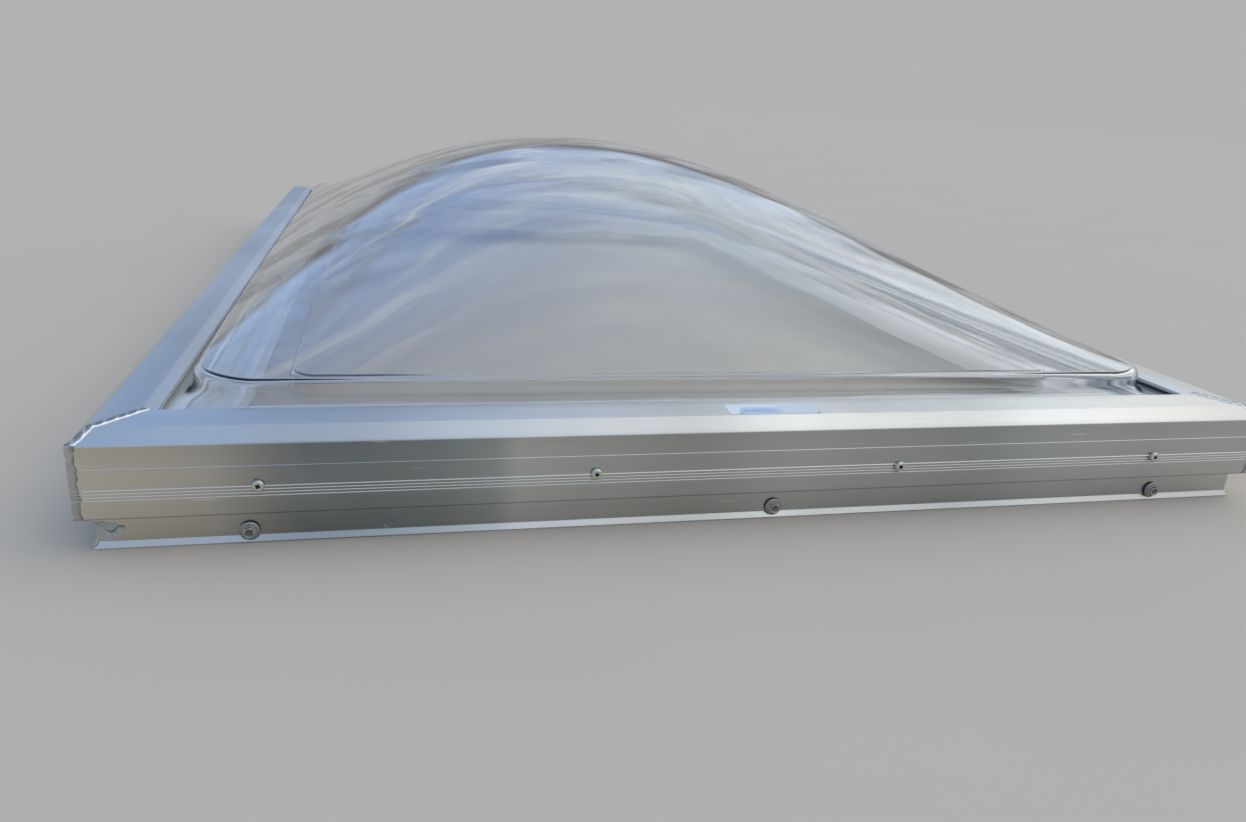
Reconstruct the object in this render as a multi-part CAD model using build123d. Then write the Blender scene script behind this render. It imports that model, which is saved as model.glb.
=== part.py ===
from build123d import *
import itertools
import math
import os

# Roof skylight for a curb: two clear domes blown from acrylic sheet, one inside the other,
# held between a base frame and a cap frame of aluminium. Millimetres, +Z up, front facing -Y.
# The origin is at the centre of the plan, level with the bottom of the drip lip.
# In a frame section u runs inward from the cap's outer face and z runs up.

# Plan, over the outer faces of the cap.
WIDTH = 1041.4
DEPTH = 1651.0

# Base rail: a leg outside the curb with a flared drip lip, and a hollow box over the curb.
LEG_INSET = 10.4
BASE_WALL = 2.2
BASE_WIDTH = 55.6
BASE_HEIGHT = 75.0
WEB_HEIGHT = 25.0
LIP_HEIGHT = 5.65
LIP_FLARE = 2.4
LIP_EDGE = 1.0
DIMPLE_RADIUS = 4.3
DIMPLE_DEPTH = 0.5
DIMPLE_X = -303.0
DIMPLE_HEIGHT = 10.9

# Layers between the base's shelf and the cap's foot, from the bottom up.
GLAZING_TAPE = 2.0
INNER_SHEET = 3.0
SPACER_TAPE = 3.0
OUTER_SHEET = 4.5
CAP_GASKET = 2.2

# Domes: each has a flat flange, a bend, an upright riser, a knee and a blown crown.
DOME_SETBACK = 3.6
FLANGE_CORNER = 12.0
NOSE_TO_RISER = 13.3
OUTER_CORNER = 55.0
OUTER_BEND = 12.0
OUTER_KNEE = 8.5
OUTER_RISER = 23.5
OUTER_RISE = 161.0
RISER_STEP = 70.0
INNER_CORNER = 25.0
INNER_BEND = 4.0
INNER_KNEE = 5.0
INNER_RISER = 12.0
INNER_RISE = 118.0

# Cap rail: ribbed skirt, bevel, sloped top and nose, with a foot on the gasket.
CAP_WALL = 2.2
SKIRT_BOTTOM = 27.7
BEVEL_WIDTH = 11.8
BEVEL_FALL = 10.5
TOP_WIDTH = 29.1
TOP_FALL = 2.7
NOSE_WIDTH = 9.8
NOSE_FALL = 3.4
NOSE_DROP = 3.3
NOSE_GAP = 3.0
CAP_ROUND = 1.3
FOOT_WIDTH = 16.0
FOOT_SETBACK = 6.9
RIB_COUNT = 4
RIB_START = 15.2
RIB_PITCH = 2.53
RIB_WIDTH = 1.2
RIB_CREST = 0.6
RIB_PROUD = 0.6
LINE_HEIGHT = 38.7
LINE_WIDTH = 0.8
LINE_PROUD = 0.35

# Weld beads along the cap's mitres and down its corners.
WELD_RADIUS = 6.5
WELD_PROUD = 1.2
WELD_SETBACK = 4.5
CORNER_BEAD = 6.8
CORNER_BEAD_PROUD = 1.0
CORNER_BEAD_ROUND = 2.6

# Strips of tape, gasket and foam.
TAPE_EDGE = 6.0
TAPE_TO_HOOK = 3.0
SPACER_EDGE = 8.0
SPACER_TO_RISER = 1.0
GASKET_EDGE = 1.0
CURB_SEAL = 3.0
CURB_SEAL_WIDTH = 30.0
SEAL_TO_HOOK = 2.0

# Inner trim: a vinyl liner that hooks over the base's inner wall, with a gutter and a rim.
TRIM_WALL = 2.0
HOOK_CLEARANCE = 0.5
TOP_HOOK = 5.0
BOTTOM_HOOK = 8.0
GUTTER_WIDTH = 33.0
GUTTER_DEPTH = 17.5
RIM_CLEARANCE = 1.5
RIM_FLANGE = 6.0

# Keys inside the base's corners.
KEY_WALL = 3.0
KEY_LEG = 60.0
KEY_HEADROOM = 5.6

# Pan-head screws through the cap's skirt into the base's leg, on the top rib.
SHANK_RADIUS = 2.4
HOLE_CLEARANCE = 0.1
CAP_SCREW_END = 125.0
CAP_SCREW_PITCH = 285.0
CAP_SCREW_BITE = 5.8
PAN_RADIUS = 4.6
PAN_HEIGHT = 3.3
PAN_ROUND = 1.7
SOCKET_WIDTH = 2.9
SOCKET_DEPTH = 1.8
POINT_LENGTH = 3.0
# The front row was driven by hand: how far each screw lies from the even row, in x and z.
CAP_SCREW_DRIFT = [(0.0, 0.8), (-8.1, 1.1), (0.8, -1.6), (5.8, -0.9)]

# Hex screws through the base's leg into the curb, with a domed washer on a rubber seal.
CURB_SCREW_HEIGHT = 10.0
CURB_SCREW_END = 107.0
CURB_SCREW_PITCH = 420.0
CURB_SCREW_LENGTH = 38.0
HEX_WIDTH = 8.0
HEX_HEIGHT = 3.0
COLLAR_RADIUS = 5.25
COLLAR_HEIGHT = 0.8
WASHER_RADIUS = 7.5
WASHER_WALL = 1.0
SEAL_RADIUS = 7.25
RUBBER_HEIGHT = 1.8
CURB_SCREW_DRIFT = [(8.5, -0.2), (22.2, 0.3), (5.7, 0.1)]

# Blank label on the front's sloped top.
LABEL_WIDTH = 81.5
LABEL_DEPTH = 20.5
LABEL_THICK = 0.2
LABEL_X = 17.0
LABEL_TO_RIDGE = 1.3

# Sealant at the foot of the front left corner: a smear on the leg and a bead down its corner.
SMEAR_WIDTH = 19.0
SMEAR_HEIGHT = 15.5
SMEAR_PROUD = 1.3
SMEAR_BOTTOM = 6.2
SEAL_BEAD = 1.6
SEAL_BEAD_SUNK = 0.5

# Spare length of cutting tools past what they cut.
SPARE = 5.0

# Heights and insets that follow from the sizes above.
INNER_FLANGE = BASE_HEIGHT + GLAZING_TAPE
SPACER_BOTTOM = INNER_FLANGE + INNER_SHEET
OUTER_FLANGE = SPACER_BOTTOM + SPACER_TAPE
GASKET_BOTTOM = OUTER_FLANGE + OUTER_SHEET
FOOT_BOTTOM = GASKET_BOTTOM + CAP_GASKET
NOSE_BOTTOM = GASKET_BOTTOM + NOSE_GAP
NOSE_TOP = NOSE_BOTTOM + NOSE_DROP
CREASE_HEIGHT = NOSE_TOP + NOSE_FALL
RIDGE_HEIGHT = CREASE_HEIGHT - TOP_FALL
SKIRT_TOP = RIDGE_HEIGHT - BEVEL_FALL
RIB_TOP = SKIRT_BOTTOM + RIB_START + (RIB_COUNT - 1) * RIB_PITCH
CREASE_INSET = BEVEL_WIDTH + TOP_WIDTH
NOSE_INSET = CREASE_INSET + NOSE_WIDTH
FOOT_INSET = CREASE_INSET - FOOT_SETBACK
BASE_INNER = LEG_INSET + BASE_WIDTH
FLANGE_INSET = LEG_INSET + DOME_SETBACK
OUTER_RISER_INSET = NOSE_INSET + NOSE_TO_RISER
INNER_RISER_INSET = OUTER_RISER_INSET + RISER_STEP

# Each side as its name, its turn about Z, its length and its distance from the centre.
SIDES = [
    ("front", 0, WIDTH, DEPTH / 2),
    ("right", 90, DEPTH, WIDTH / 2),
    ("back", 180, WIDTH, DEPTH / 2),
    ("left", 270, DEPTH, WIDTH / 2),
]
# Each corner as its turn about Z and its place.
CORNERS = [
    (0, -WIDTH / 2, -DEPTH / 2),
    (90, WIDTH / 2, -DEPTH / 2),
    (180, WIDTH / 2, DEPTH / 2),
    (270, -WIDTH / 2, DEPTH / 2),
]


def bar(u0, u1, z0, z1):
    """A rectangle in a section, from its low to its high corner."""
    return Pos((u0 + u1) / 2, (z0 + z1) / 2) * Rectangle(u1 - u0, z1 - z0)


def polygon(points):
    return make_face(Polyline(*points, close=True))


def inset(path, wall):
    """An open path moved to its right by the wall, its corners kept sharp."""
    normals = []
    for (u0, z0), (u1, z1) in zip(path, path[1:]):
        length = math.hypot(u1 - u0, z1 - z0)
        normals.append(((z1 - z0) / length, (u0 - u1) / length))
    moved = []
    for (u, z), before, after in zip(path, normals[:1] + normals, normals + normals[-1:]):
        share = wall / (1 + before[0] * after[0] + before[1] * after[1])
        moved.append((u + share * (before[0] + after[0]), z + share * (before[1] + after[1])))
    return moved


def rounded(section, points, radius):
    """Round the corners of a section that lie at the given points."""
    corners = [v for v in section.vertices() if any(math.dist((v.X, v.Y), p) < 0.01 for p in points)]
    return fillet(corners, radius)


def rail(section, length, half):
    """Extrude a section along the front edge, with both ends cut to the mitre."""
    start = Plane(origin=(-length / 2 - SPARE, -half, 0), x_dir=(0, 1, 0), z_dir=(1, 0, 0))
    blank = extrude(start * section, amount=length + 2 * SPARE)
    ends = [(-length / 2 - SPARE, -half - SPARE), (length / 2 + SPARE, -half - SPARE)]
    apex = (0, length / 2 - half)
    mitre = extrude(Pos(0, 0, -SPARE) * polygon(ends + [apex]), amount=CREASE_HEIGHT + 2 * SPARE)
    return blank & mitre


def ring(section):
    """One rail on each side, by side name."""
    return {side: Rot(0, 0, turn) * rail(section, length, half) for side, turn, length, half in SIDES}


def strips(u0, u1, z0, z1):
    """Four butted strips: long ones across the front and back, and the sides between them."""
    pieces = []
    for side, turn, length, half in SIDES:
        run = length - 2 * (u0 if side in ("front", "back") else u1)
        strip = Box(run, u1 - u0, z1 - z0)
        pieces.append(Rot(0, 0, turn) * Pos(0, (u0 + u1) / 2 - half, (z0 + z1) / 2) * strip)
    return pieces


def cap_path():
    """The cap's outer line, from the bottom of the skirt to the end of the nose."""
    return [
        (0, SKIRT_BOTTOM),
        (0, SKIRT_TOP),
        (BEVEL_WIDTH, RIDGE_HEIGHT),
        (CREASE_INSET, CREASE_HEIGHT),
        (NOSE_INSET, NOSE_TOP),
        (NOSE_INSET, NOSE_BOTTOM),
    ]


def top_height(u):
    """Height of the cap's sloped top at an inset."""
    return RIDGE_HEIGHT + TOP_FALL * (u - BEVEL_WIDTH) / TOP_WIDTH


def raised_line(z, width, crest, proud):
    """A small ridge along the skirt's outer face."""
    points = [(0, z - width / 2), (-proud, z - crest / 2), (-proud, z + crest / 2), (0, z + width / 2)]
    return polygon(points + [(CAP_WALL / 2, z)])


def cap_section():
    path = cap_path()
    section = rounded(polygon(path + inset(path, CAP_WALL)[::-1]), path[1:5], CAP_ROUND)
    foot = FOOT_WIDTH / 2
    section += bar(FOOT_INSET - foot, FOOT_INSET + foot, FOOT_BOTTOM, FOOT_BOTTOM + CAP_WALL)
    web = CAP_WALL / 2
    section += bar(FOOT_INSET - web, FOOT_INSET + web, FOOT_BOTTOM, top_height(FOOT_INSET) - web)
    for k in range(RIB_COUNT):
        section += raised_line(SKIRT_BOTTOM + RIB_START + k * RIB_PITCH, RIB_WIDTH, RIB_CREST, RIB_PROUD)
    section += raised_line(SKIRT_BOTTOM + LINE_HEIGHT, LINE_WIDTH, LINE_WIDTH / 2, LINE_PROUD)
    return section


def base_section():
    """Leg and lip, web, inner wall and shelf, around the hollow over the curb."""
    leg = LEG_INSET
    inside = LEG_INSET + BASE_WALL
    lip = leg - LIP_FLARE
    outline = [
        (leg, BASE_HEIGHT),
        (leg, LIP_HEIGHT),
        (lip, LIP_EDGE),
        (lip, 0),
        (lip + BASE_WALL, 0),
        (lip + BASE_WALL, LIP_EDGE / 2),
        (inside, LIP_HEIGHT - LIP_EDGE / 2),
        (inside, WEB_HEIGHT),
        (BASE_INNER, WEB_HEIGHT),
        (BASE_INNER, BASE_HEIGHT),
    ]
    hollow = bar(inside, BASE_INNER - BASE_WALL, WEB_HEIGHT + BASE_WALL, BASE_HEIGHT - BASE_WALL)
    return polygon(outline) - hollow


def trim_section():
    """Hooks and back against the base's inner wall, gutter floor, rim and its flange."""
    hook = GLAZING_TAPE - HOOK_CLEARANCE
    back = BASE_INNER + TRIM_WALL
    rim = BASE_INNER + GUTTER_WIDTH
    rim_top = INNER_FLANGE - RIM_CLEARANCE
    floor = rim_top - GUTTER_DEPTH
    section = bar(BASE_INNER, back, WEB_HEIGHT - hook, BASE_HEIGHT + hook)
    section += bar(BASE_INNER - TOP_HOOK, back, BASE_HEIGHT, BASE_HEIGHT + hook)
    section += bar(BASE_INNER - BOTTOM_HOOK, back, WEB_HEIGHT - hook, WEB_HEIGHT)
    section += bar(BASE_INNER, rim, floor, floor + TRIM_WALL)
    section += bar(rim - TRIM_WALL, rim, floor, rim_top)
    section += bar(rim - RIM_FLANGE, rim, rim_top - TRIM_WALL, rim_top)
    return section


def membrane(x, y, a, b, terms=12):
    """Height of a sheet blown over a rectangle of half sizes a and b, as its Fourier series."""
    total = 0.0
    for k in range(terms):
        m = (2 * k + 1) * math.pi / 2
        across = math.cos(m * x / a) * (1 - math.cosh(m * y / a) / math.cosh(m * b / a))
        total += (-1) ** k / (2 * k + 1) ** 3 * across
    return total


def crown_face(a, b, foot, rise, wall):
    """The blown surface over half sizes a and b, lowered so that the wall lies above it."""
    peak = membrane(0, 0, a, b)
    step = 0.5

    def height(x, y):
        return foot + rise * membrane(x, y, a, b) / peak

    def lowered(x, y):
        slope_x = (height(x + step, y) - height(x - step, y)) / (2 * step)
        slope_y = (height(x, y + step) - height(x, y - step)) / (2 * step)
        return height(x, y) - wall * math.sqrt(1 + slope_x**2 + slope_y**2)

    margin = 12.0
    across, along = 25, 37
    rows = []
    for i in range(across):
        x = (a + margin) * math.sin(math.pi / 2 * (2 * i / (across - 1) - 1))
        ys = [(b + margin) * math.sin(math.pi / 2 * (2 * j / (along - 1) - 1)) for j in range(along)]
        rows.append([Vector(x, y, lowered(x, y)) for y in ys])
    return Face.make_surface_from_array_of_points(rows, tol=0.02, min_deg=3, max_deg=5)


def blown_form(riser_inset, wall, corner, flange_top, riser, rise, knee, bend, slab):
    """A solid up to one skin of a dome: a slab up to the flange, then riser, knee and crown.

    The skin lies inside the dome's outer skin by the wall.
    """
    a = WIDTH / 2 - riser_inset
    b = DEPTH / 2 - riser_inset
    foot = flange_top + riser
    bottom = Pos(0, 0, flange_top - slab)
    plan = bottom * RectangleRounded(2 * (a - wall), 2 * (b - wall), corner - wall)
    walls = extrude(plan, amount=slab + riser + rise + SPARE)
    under = extrude(crown_face(a, b, foot, rise, wall), amount=foot + rise, dir=(0, 0, -1))
    top = walls & under
    high = [e for e in top.edges() if e.center().Z > foot - 2 * riser / 3]
    knees = [e for e in high if abs(e.tangent_at(0.5).Z) < 0.9]
    top = fillet(knees, knee)
    edge = WIDTH / 2 - FLANGE_INSET
    end = DEPTH / 2 - FLANGE_INSET
    whole = top + extrude(bottom * RectangleRounded(2 * edge, 2 * end, FLANGE_CORNER), amount=slab)
    level = [e for e in whole.edges() if abs(e.center().Z - flange_top) < 0.01]
    bends = [e for e in level if abs(e.center().X) < a + 1 and abs(e.center().Y) < b + 1]
    return fillet(bends, bend)


def dome(riser_inset, sheet, corner, flange_bottom, riser, rise, knee, bend):
    """A blown dome: the form under its outer skin less the form under its inner skin."""
    tight = knee - sheet / 2
    wide = bend + sheet
    outer = blown_form(riser_inset, 0, corner, flange_bottom + sheet, riser, rise, knee, bend, sheet)
    inner = blown_form(riser_inset, sheet, corner, flange_bottom, riser + sheet, rise, tight, wide, SPARE)
    return outer - inner


def mitre_envelope():
    """The cap ring as if it were solid through, to trim the weld beads to its faces."""
    filled = polygon(cap_path() + [(NOSE_INSET, SKIRT_BOTTOM)]) + cap_section()
    return list(ring(filled).values())


def round_bead(centres, radius):
    """A round bar through the centres, with round ends and bends."""
    bead = Pos(*centres[0]) * Sphere(radius)
    for low, high in zip(centres, centres[1:]):
        along = Vector(*high) - Vector(*low)
        middle = Plane(origin=low, z_dir=along) * Pos(0, 0, along.length / 2)
        bead += middle * Cylinder(radius, along.length)
        bead += Pos(*high) * Sphere(radius)
    return bead


def mitre_bead():
    """A round bead sunk along one mitre, from near the nose to the skirt's top."""
    end = (NOSE_INSET - WELD_SETBACK, NOSE_TOP + NOSE_FALL * WELD_SETBACK / NOSE_WIDTH)
    line = cap_path()[1:4] + [end]
    diagonal = [(u * math.sqrt(2), z) for u, z in line]
    sunk = inset(diagonal, WELD_RADIUS - WELD_PROUD)
    centres = [(s / math.sqrt(2), s / math.sqrt(2), z) for s, z in sunk]
    return round_bead(centres, WELD_RADIUS)


def corner_beads():
    """One corner's beads, with the corner at the origin and the plan towards +X and +Y."""
    low = Pos(-CORNER_BEAD_PROUD, -CORNER_BEAD_PROUD, SKIRT_BOTTOM)
    limit = low * Box(NOSE_INSET, NOSE_INSET, CREASE_HEIGHT, align=Align.MIN)
    uprights = limit.edges().filter_by(Axis.Z).sort_by(lambda e: e.center().X + e.center().Y)
    limit = fillet(uprights[0], CORNER_BEAD_ROUND)
    side = CORNER_BEAD + CORNER_BEAD_PROUD
    post = low * Box(side, side, SKIRT_TOP - SKIRT_BOTTOM, align=Align.MIN)
    return limit & (mitre_bead() + post)


def cap_corner_welds():
    """The beads at the four corners, less what lies inside the cap."""
    beads = []
    envelope = mitre_envelope()
    for turn, x, y in CORNERS:
        bead = Pos(x, y, 0) * Rot(0, 0, turn) * corner_beads()
        for side in envelope:
            bead -= side
        beads.append(bead)
    return beads


def corner_keys():
    """Angle pieces that stand on the web against the leg, inside the base's corners."""
    near = LEG_INSET + BASE_WALL
    low = WEB_HEIGHT + BASE_WALL
    height = BASE_HEIGHT - BASE_WALL - KEY_HEADROOM - low
    key = Pos(near, near, low) * Box(KEY_LEG, KEY_WALL, height, align=Align.MIN)
    key += Pos(near, near, low) * Box(KEY_WALL, KEY_LEG, height, align=Align.MIN)
    return [Pos(x, y, 0) * Rot(0, 0, turn) * key for turn, x, y in CORNERS]


def spread(length, end, pitch):
    """Even places along a side, from end to end at no more than the pitch."""
    span = length - 2 * end
    gaps = math.ceil(span / pitch - 0.02)
    return [span * (k / gaps - 0.5) for k in range(gaps + 1)]


def screw_places(end, pitch, z, drift):
    """Place of each screw on its side as (x, z), by side; only the front row drifts."""
    places = {}
    for side, _, length, _ in SIDES:
        places[side] = [(x, z) for x in spread(length, end, pitch)]
    drifts = itertools.cycle(drift)
    places["front"] = [(x + dx, z + dz) for (x, z), (dx, dz) in zip(places["front"], drifts)]
    return places


def on_side(shape, half, u, x, z):
    """Set a shape that points up at the origin on the front side, pointing out."""
    return Pos(x, u - half, z) * Rot(90, 0, 0) * shape


def drill(rails, places, radius):
    """Cut a hole through the outer walls of each rail at each of its places."""
    depth = LEG_INSET + BASE_WALL + SPARE
    for side, turn, _, half in SIDES:
        for x, z in places[side]:
            hole = on_side(Cylinder(radius, depth), half, depth / 2 - SPARE / 2, x, z)
            rails[side] -= Rot(0, 0, turn) * hole


def repeat(shape, places, u):
    """Copies of a shape at all the places, seated at an inset."""
    copies = []
    for side, turn, _, half in SIDES:
        copies += [Rot(0, 0, turn) * on_side(shape, half, u, x, z) for x, z in places[side]]
    return copies


def shank(length):
    """A screw's shank below the origin, with a point at its end."""
    body = Pos(0, 0, (POINT_LENGTH - length) / 2) * Cylinder(SHANK_RADIUS, length - POINT_LENGTH)
    return body + Pos(0, 0, POINT_LENGTH / 2 - length) * Cone(SHANK_RADIUS / 8, SHANK_RADIUS, POINT_LENGTH)


def cap_screw():
    head = Pos(0, 0, PAN_HEIGHT / 2) * Cylinder(PAN_RADIUS, PAN_HEIGHT)
    head = fillet(head.edges().sort_by(Axis.Z)[-1], PAN_ROUND)
    head -= Pos(0, 0, PAN_HEIGHT - SOCKET_DEPTH / 2) * Box(SOCKET_WIDTH, SOCKET_WIDTH, SOCKET_DEPTH)
    return head + shank(RIB_PROUD + LEG_INSET + BASE_WALL + CAP_SCREW_BITE)


def curb_screw():
    """Hexagon and collar above the washer, and the shank below it."""
    hexagon = extrude(RegularPolygon(HEX_WIDTH / 2, 6, major_radius=False), amount=COLLAR_HEIGHT + HEX_HEIGHT)
    collar = Pos(0, 0, COLLAR_HEIGHT / 2) * Cylinder(COLLAR_RADIUS, COLLAR_HEIGHT)
    return hexagon + collar + shank(CURB_SCREW_LENGTH)


def disc(radius, height):
    """A washer that lies on the origin, with a hole that clears the shank."""
    hole = Cylinder(SHANK_RADIUS + HOLE_CLEARANCE, height)
    return Pos(0, 0, height / 2) * (Cylinder(radius, height) - hole)


def label():
    start = BEVEL_WIDTH + LABEL_TO_RIDGE
    end = start + LABEL_DEPTH
    path = [(start, top_height(start)), (end, top_height(end))]
    section = polygon(path + inset(path, -LABEL_THICK)[::-1])
    left = Plane(origin=(LABEL_X - LABEL_WIDTH / 2, -DEPTH / 2, 0), x_dir=(0, 1, 0), z_dir=(1, 0, 0))
    return extrude(left * section, amount=LABEL_WIDTH)


def corner_sealant(base):
    """A low oval pad on the leg's face, and a bead from its top down the corner to the lip."""
    pad = extrude(Ellipse(SMEAR_WIDTH / 2, SMEAR_HEIGHT / 2), amount=SMEAR_PROUD)
    pad = fillet(pad.edges().sort_by(Axis.Z)[-1], SMEAR_PROUD * 0.8)
    x = LEG_INSET - WIDTH / 2 + SMEAR_WIDTH / 2
    smear = on_side(pad, DEPTH / 2, LEG_INSET, x, SMEAR_BOTTOM + SMEAR_HEIGHT / 2)
    leg = LEG_INSET + SEAL_BEAD_SUNK
    lip = leg - LIP_FLARE
    line = [(leg, SMEAR_BOTTOM + SMEAR_HEIGHT), (leg, LIP_HEIGHT), (lip, LIP_EDGE + SEAL_BEAD)]
    smear += Pos(-WIDTH / 2, -DEPTH / 2, 0) * round_bead([(u, u, z) for u, z in line], SEAL_BEAD)
    return smear - base["front"] - base["left"]


def dimple():
    """A shallow round dent in the front of the base's leg."""
    dent = Pos(0, 0, -DIMPLE_DEPTH / 2) * Cone(DIMPLE_RADIUS - DIMPLE_DEPTH, DIMPLE_RADIUS, DIMPLE_DEPTH)
    return on_side(dent, DEPTH / 2, LEG_INSET, DIMPLE_X, DIMPLE_HEIGHT)


def build():
    """Every node by name, as one shape or as a list of separate solids."""
    cap = ring(cap_section())
    base = ring(base_section())
    trim = ring(trim_section())
    cap_places = screw_places(CAP_SCREW_END, CAP_SCREW_PITCH, RIB_TOP, CAP_SCREW_DRIFT)
    curb_places = screw_places(CURB_SCREW_END, CURB_SCREW_PITCH, CURB_SCREW_HEIGHT, CURB_SCREW_DRIFT)
    hole = SHANK_RADIUS + HOLE_CLEARANCE
    drill(cap, cap_places, hole)
    drill(base, cap_places, hole)
    drill(base, curb_places, hole)
    base["front"] -= dimple()

    nodes = {f"cap_rail_{side}": shape for side, shape in cap.items()}
    nodes |= {f"base_rail_{side}": shape for side, shape in base.items()}
    nodes |= {f"inner_trim_{side}": shape for side, shape in trim.items()}
    nodes["cap_corner_welds"] = cap_corner_welds()
    nodes["corner_keys"] = corner_keys()
    nodes["corner_sealant"] = corner_sealant(base)
    nodes["label"] = label()

    nodes["outer_dome"] = dome(
        OUTER_RISER_INSET,
        OUTER_SHEET,
        OUTER_CORNER,
        OUTER_FLANGE,
        OUTER_RISER,
        OUTER_RISE,
        OUTER_KNEE,
        OUTER_BEND,
    )
    nodes["inner_dome"] = dome(
        INNER_RISER_INSET,
        INNER_SHEET,
        INNER_CORNER,
        INNER_FLANGE,
        INNER_RISER,
        INNER_RISE,
        INNER_KNEE,
        INNER_BEND,
    )

    tape_end = BASE_INNER - TOP_HOOK - TAPE_TO_HOOK
    nodes["glazing_tape"] = strips(FLANGE_INSET + TAPE_EDGE, tape_end, BASE_HEIGHT, INNER_FLANGE)
    spacer_end = OUTER_RISER_INSET - SPACER_TO_RISER
    nodes["spacer_tape"] = strips(FLANGE_INSET + SPACER_EDGE, spacer_end, SPACER_BOTTOM, OUTER_FLANGE)
    gasket = FOOT_WIDTH / 2 - GASKET_EDGE
    nodes["cap_gasket"] = strips(FOOT_INSET - gasket, FOOT_INSET + gasket, GASKET_BOTTOM, FOOT_BOTTOM)
    seal_end = BASE_INNER - BOTTOM_HOOK - SEAL_TO_HOOK
    nodes["curb_seal"] = strips(seal_end - CURB_SEAL_WIDTH, seal_end, WEB_HEIGHT - CURB_SEAL, WEB_HEIGHT)

    rubber = LEG_INSET
    washer = rubber - RUBBER_HEIGHT
    seat = washer - WASHER_WALL
    nodes["cap_screws"] = repeat(cap_screw(), cap_places, -RIB_PROUD)
    nodes["curb_screws"] = repeat(curb_screw(), curb_places, seat)
    nodes["curb_screw_washers"] = repeat(disc(WASHER_RADIUS, WASHER_WALL), curb_places, washer)
    seals = repeat(disc(SEAL_RADIUS, RUBBER_HEIGHT), curb_places, rubber)
    for side in base.values():
        seals = [seal - side for seal in seals]
    nodes["curb_screw_seals"] = seals
    return nodes


os.makedirs("parts", exist_ok=True)
for name, shape in build().items():
    solids = [s for piece in (shape if isinstance(shape, list) else [shape]) for s in piece.solids()]
    export_step(Compound(children=solids) if len(solids) > 1 else solids[0], f"parts/{name}.step")
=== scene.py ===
import math

import bpy
import numpy as np
from mathutils import Matrix, Vector


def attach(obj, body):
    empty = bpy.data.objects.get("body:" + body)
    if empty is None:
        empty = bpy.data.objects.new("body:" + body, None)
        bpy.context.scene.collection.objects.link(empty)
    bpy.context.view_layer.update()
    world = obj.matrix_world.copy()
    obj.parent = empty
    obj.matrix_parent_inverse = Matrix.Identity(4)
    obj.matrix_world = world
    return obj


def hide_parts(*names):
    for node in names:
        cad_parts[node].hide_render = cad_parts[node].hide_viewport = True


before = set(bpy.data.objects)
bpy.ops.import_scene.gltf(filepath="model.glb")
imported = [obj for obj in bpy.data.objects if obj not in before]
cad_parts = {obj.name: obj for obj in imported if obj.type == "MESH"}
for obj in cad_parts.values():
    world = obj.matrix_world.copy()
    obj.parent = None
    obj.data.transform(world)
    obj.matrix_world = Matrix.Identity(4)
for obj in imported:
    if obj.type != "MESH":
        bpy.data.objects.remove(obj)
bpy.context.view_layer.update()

scene = bpy.context.scene

# Sizes are in metres. In a frame section u runs inward from the cap's outer face and z runs up.
MM = 0.001
WIDTH, DEPTH = 1041.4 * MM, 1651.0 * MM
# Each side as its quarter turns about Z, its length and its distance from the centre.
SIDES = {
    "front": (0, WIDTH, DEPTH / 2),
    "right": (1, DEPTH, WIDTH / 2),
    "back": (2, WIDTH, DEPTH / 2),
    "left": (3, DEPTH, WIDTH / 2),
}
# The corners, each a quarter turn on from the one before.
CORNERS = [(-WIDTH / 2, -DEPTH / 2), (WIDTH / 2, -DEPTH / 2), (WIDTH / 2, DEPTH / 2), (-WIDTH / 2, DEPTH / 2)]

# The cap's wall, its skirt, the insets and heights of its bends, and the foot under its web.
WALL = 2.2 * MM
SKIRT_BOTTOM, SKIRT_TOP = 27.7 * MM, 84.0 * MM
BEVEL, CREASE, NOSE = 11.8 * MM, 40.9 * MM, 50.7 * MM
RIDGE_Z, CREASE_Z, NOSE_Z, NOSE_LOW = 94.5 * MM, 97.2 * MM, 93.8 * MM, 90.5 * MM
FOOT, FOOT_HALF, FOOT_Z = 34.0 * MM, 8.0 * MM, 89.7 * MM
CAP_ROUND, NOSE_ROUND, EDGE_ROUND = 1.3 * MM, 0.3 * MM, 0.2 * MM
# The ribs' middles, how far they stand out, and half their height at the foot and at the crest.
RIBS = SKIRT_BOTTOM + (15.2 + 2.53 * np.arange(4)) * MM
RIB_OUT, RIB_FOOT, RIB_CREST, RIB_ROUND = 0.6 * MM, 0.6 * MM, 0.3 * MM, 0.12 * MM
# The fine line over the ribs: its middle, how far it stands out, and half its height.
LINE_Z, LINE_OUT, LINE_HALF, LINE_ROUND = SKIRT_BOTTOM + 38.7 * MM, 0.35 * MM, 0.4 * MM, 0.1 * MM
# The inset of the base's leg.
LEG = 10.4 * MM


# Mesh helpers

def mesh_piece(name, node, form, smooth):
    """An object at the origin from (points, faces), which rides with the frame and replaces a node.

    Edges that turn by more than smooth degrees stay sharp.
    """
    points, faces = form
    mesh = bpy.data.meshes.new(name)
    mesh.from_pydata(points.reshape(-1, 3).tolist(), [], faces)
    mesh.validate()
    mesh.polygons.foreach_set("use_smooth", [True] * len(mesh.polygons))
    mesh.set_sharp_from_angle(angle=math.radians(smooth))
    piece = bpy.data.objects.new(name, mesh)
    scene.collection.objects.link(piece)
    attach(piece, "root")
    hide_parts(node)
    return piece


def point_values(piece, name, values):
    """A named value for each vertex, for the piece's material."""
    layer = piece.data.attributes.new(name, "FLOAT", "POINT")
    layer.data.foreach_set("value", np.asarray(values, np.float32).ravel())


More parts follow.
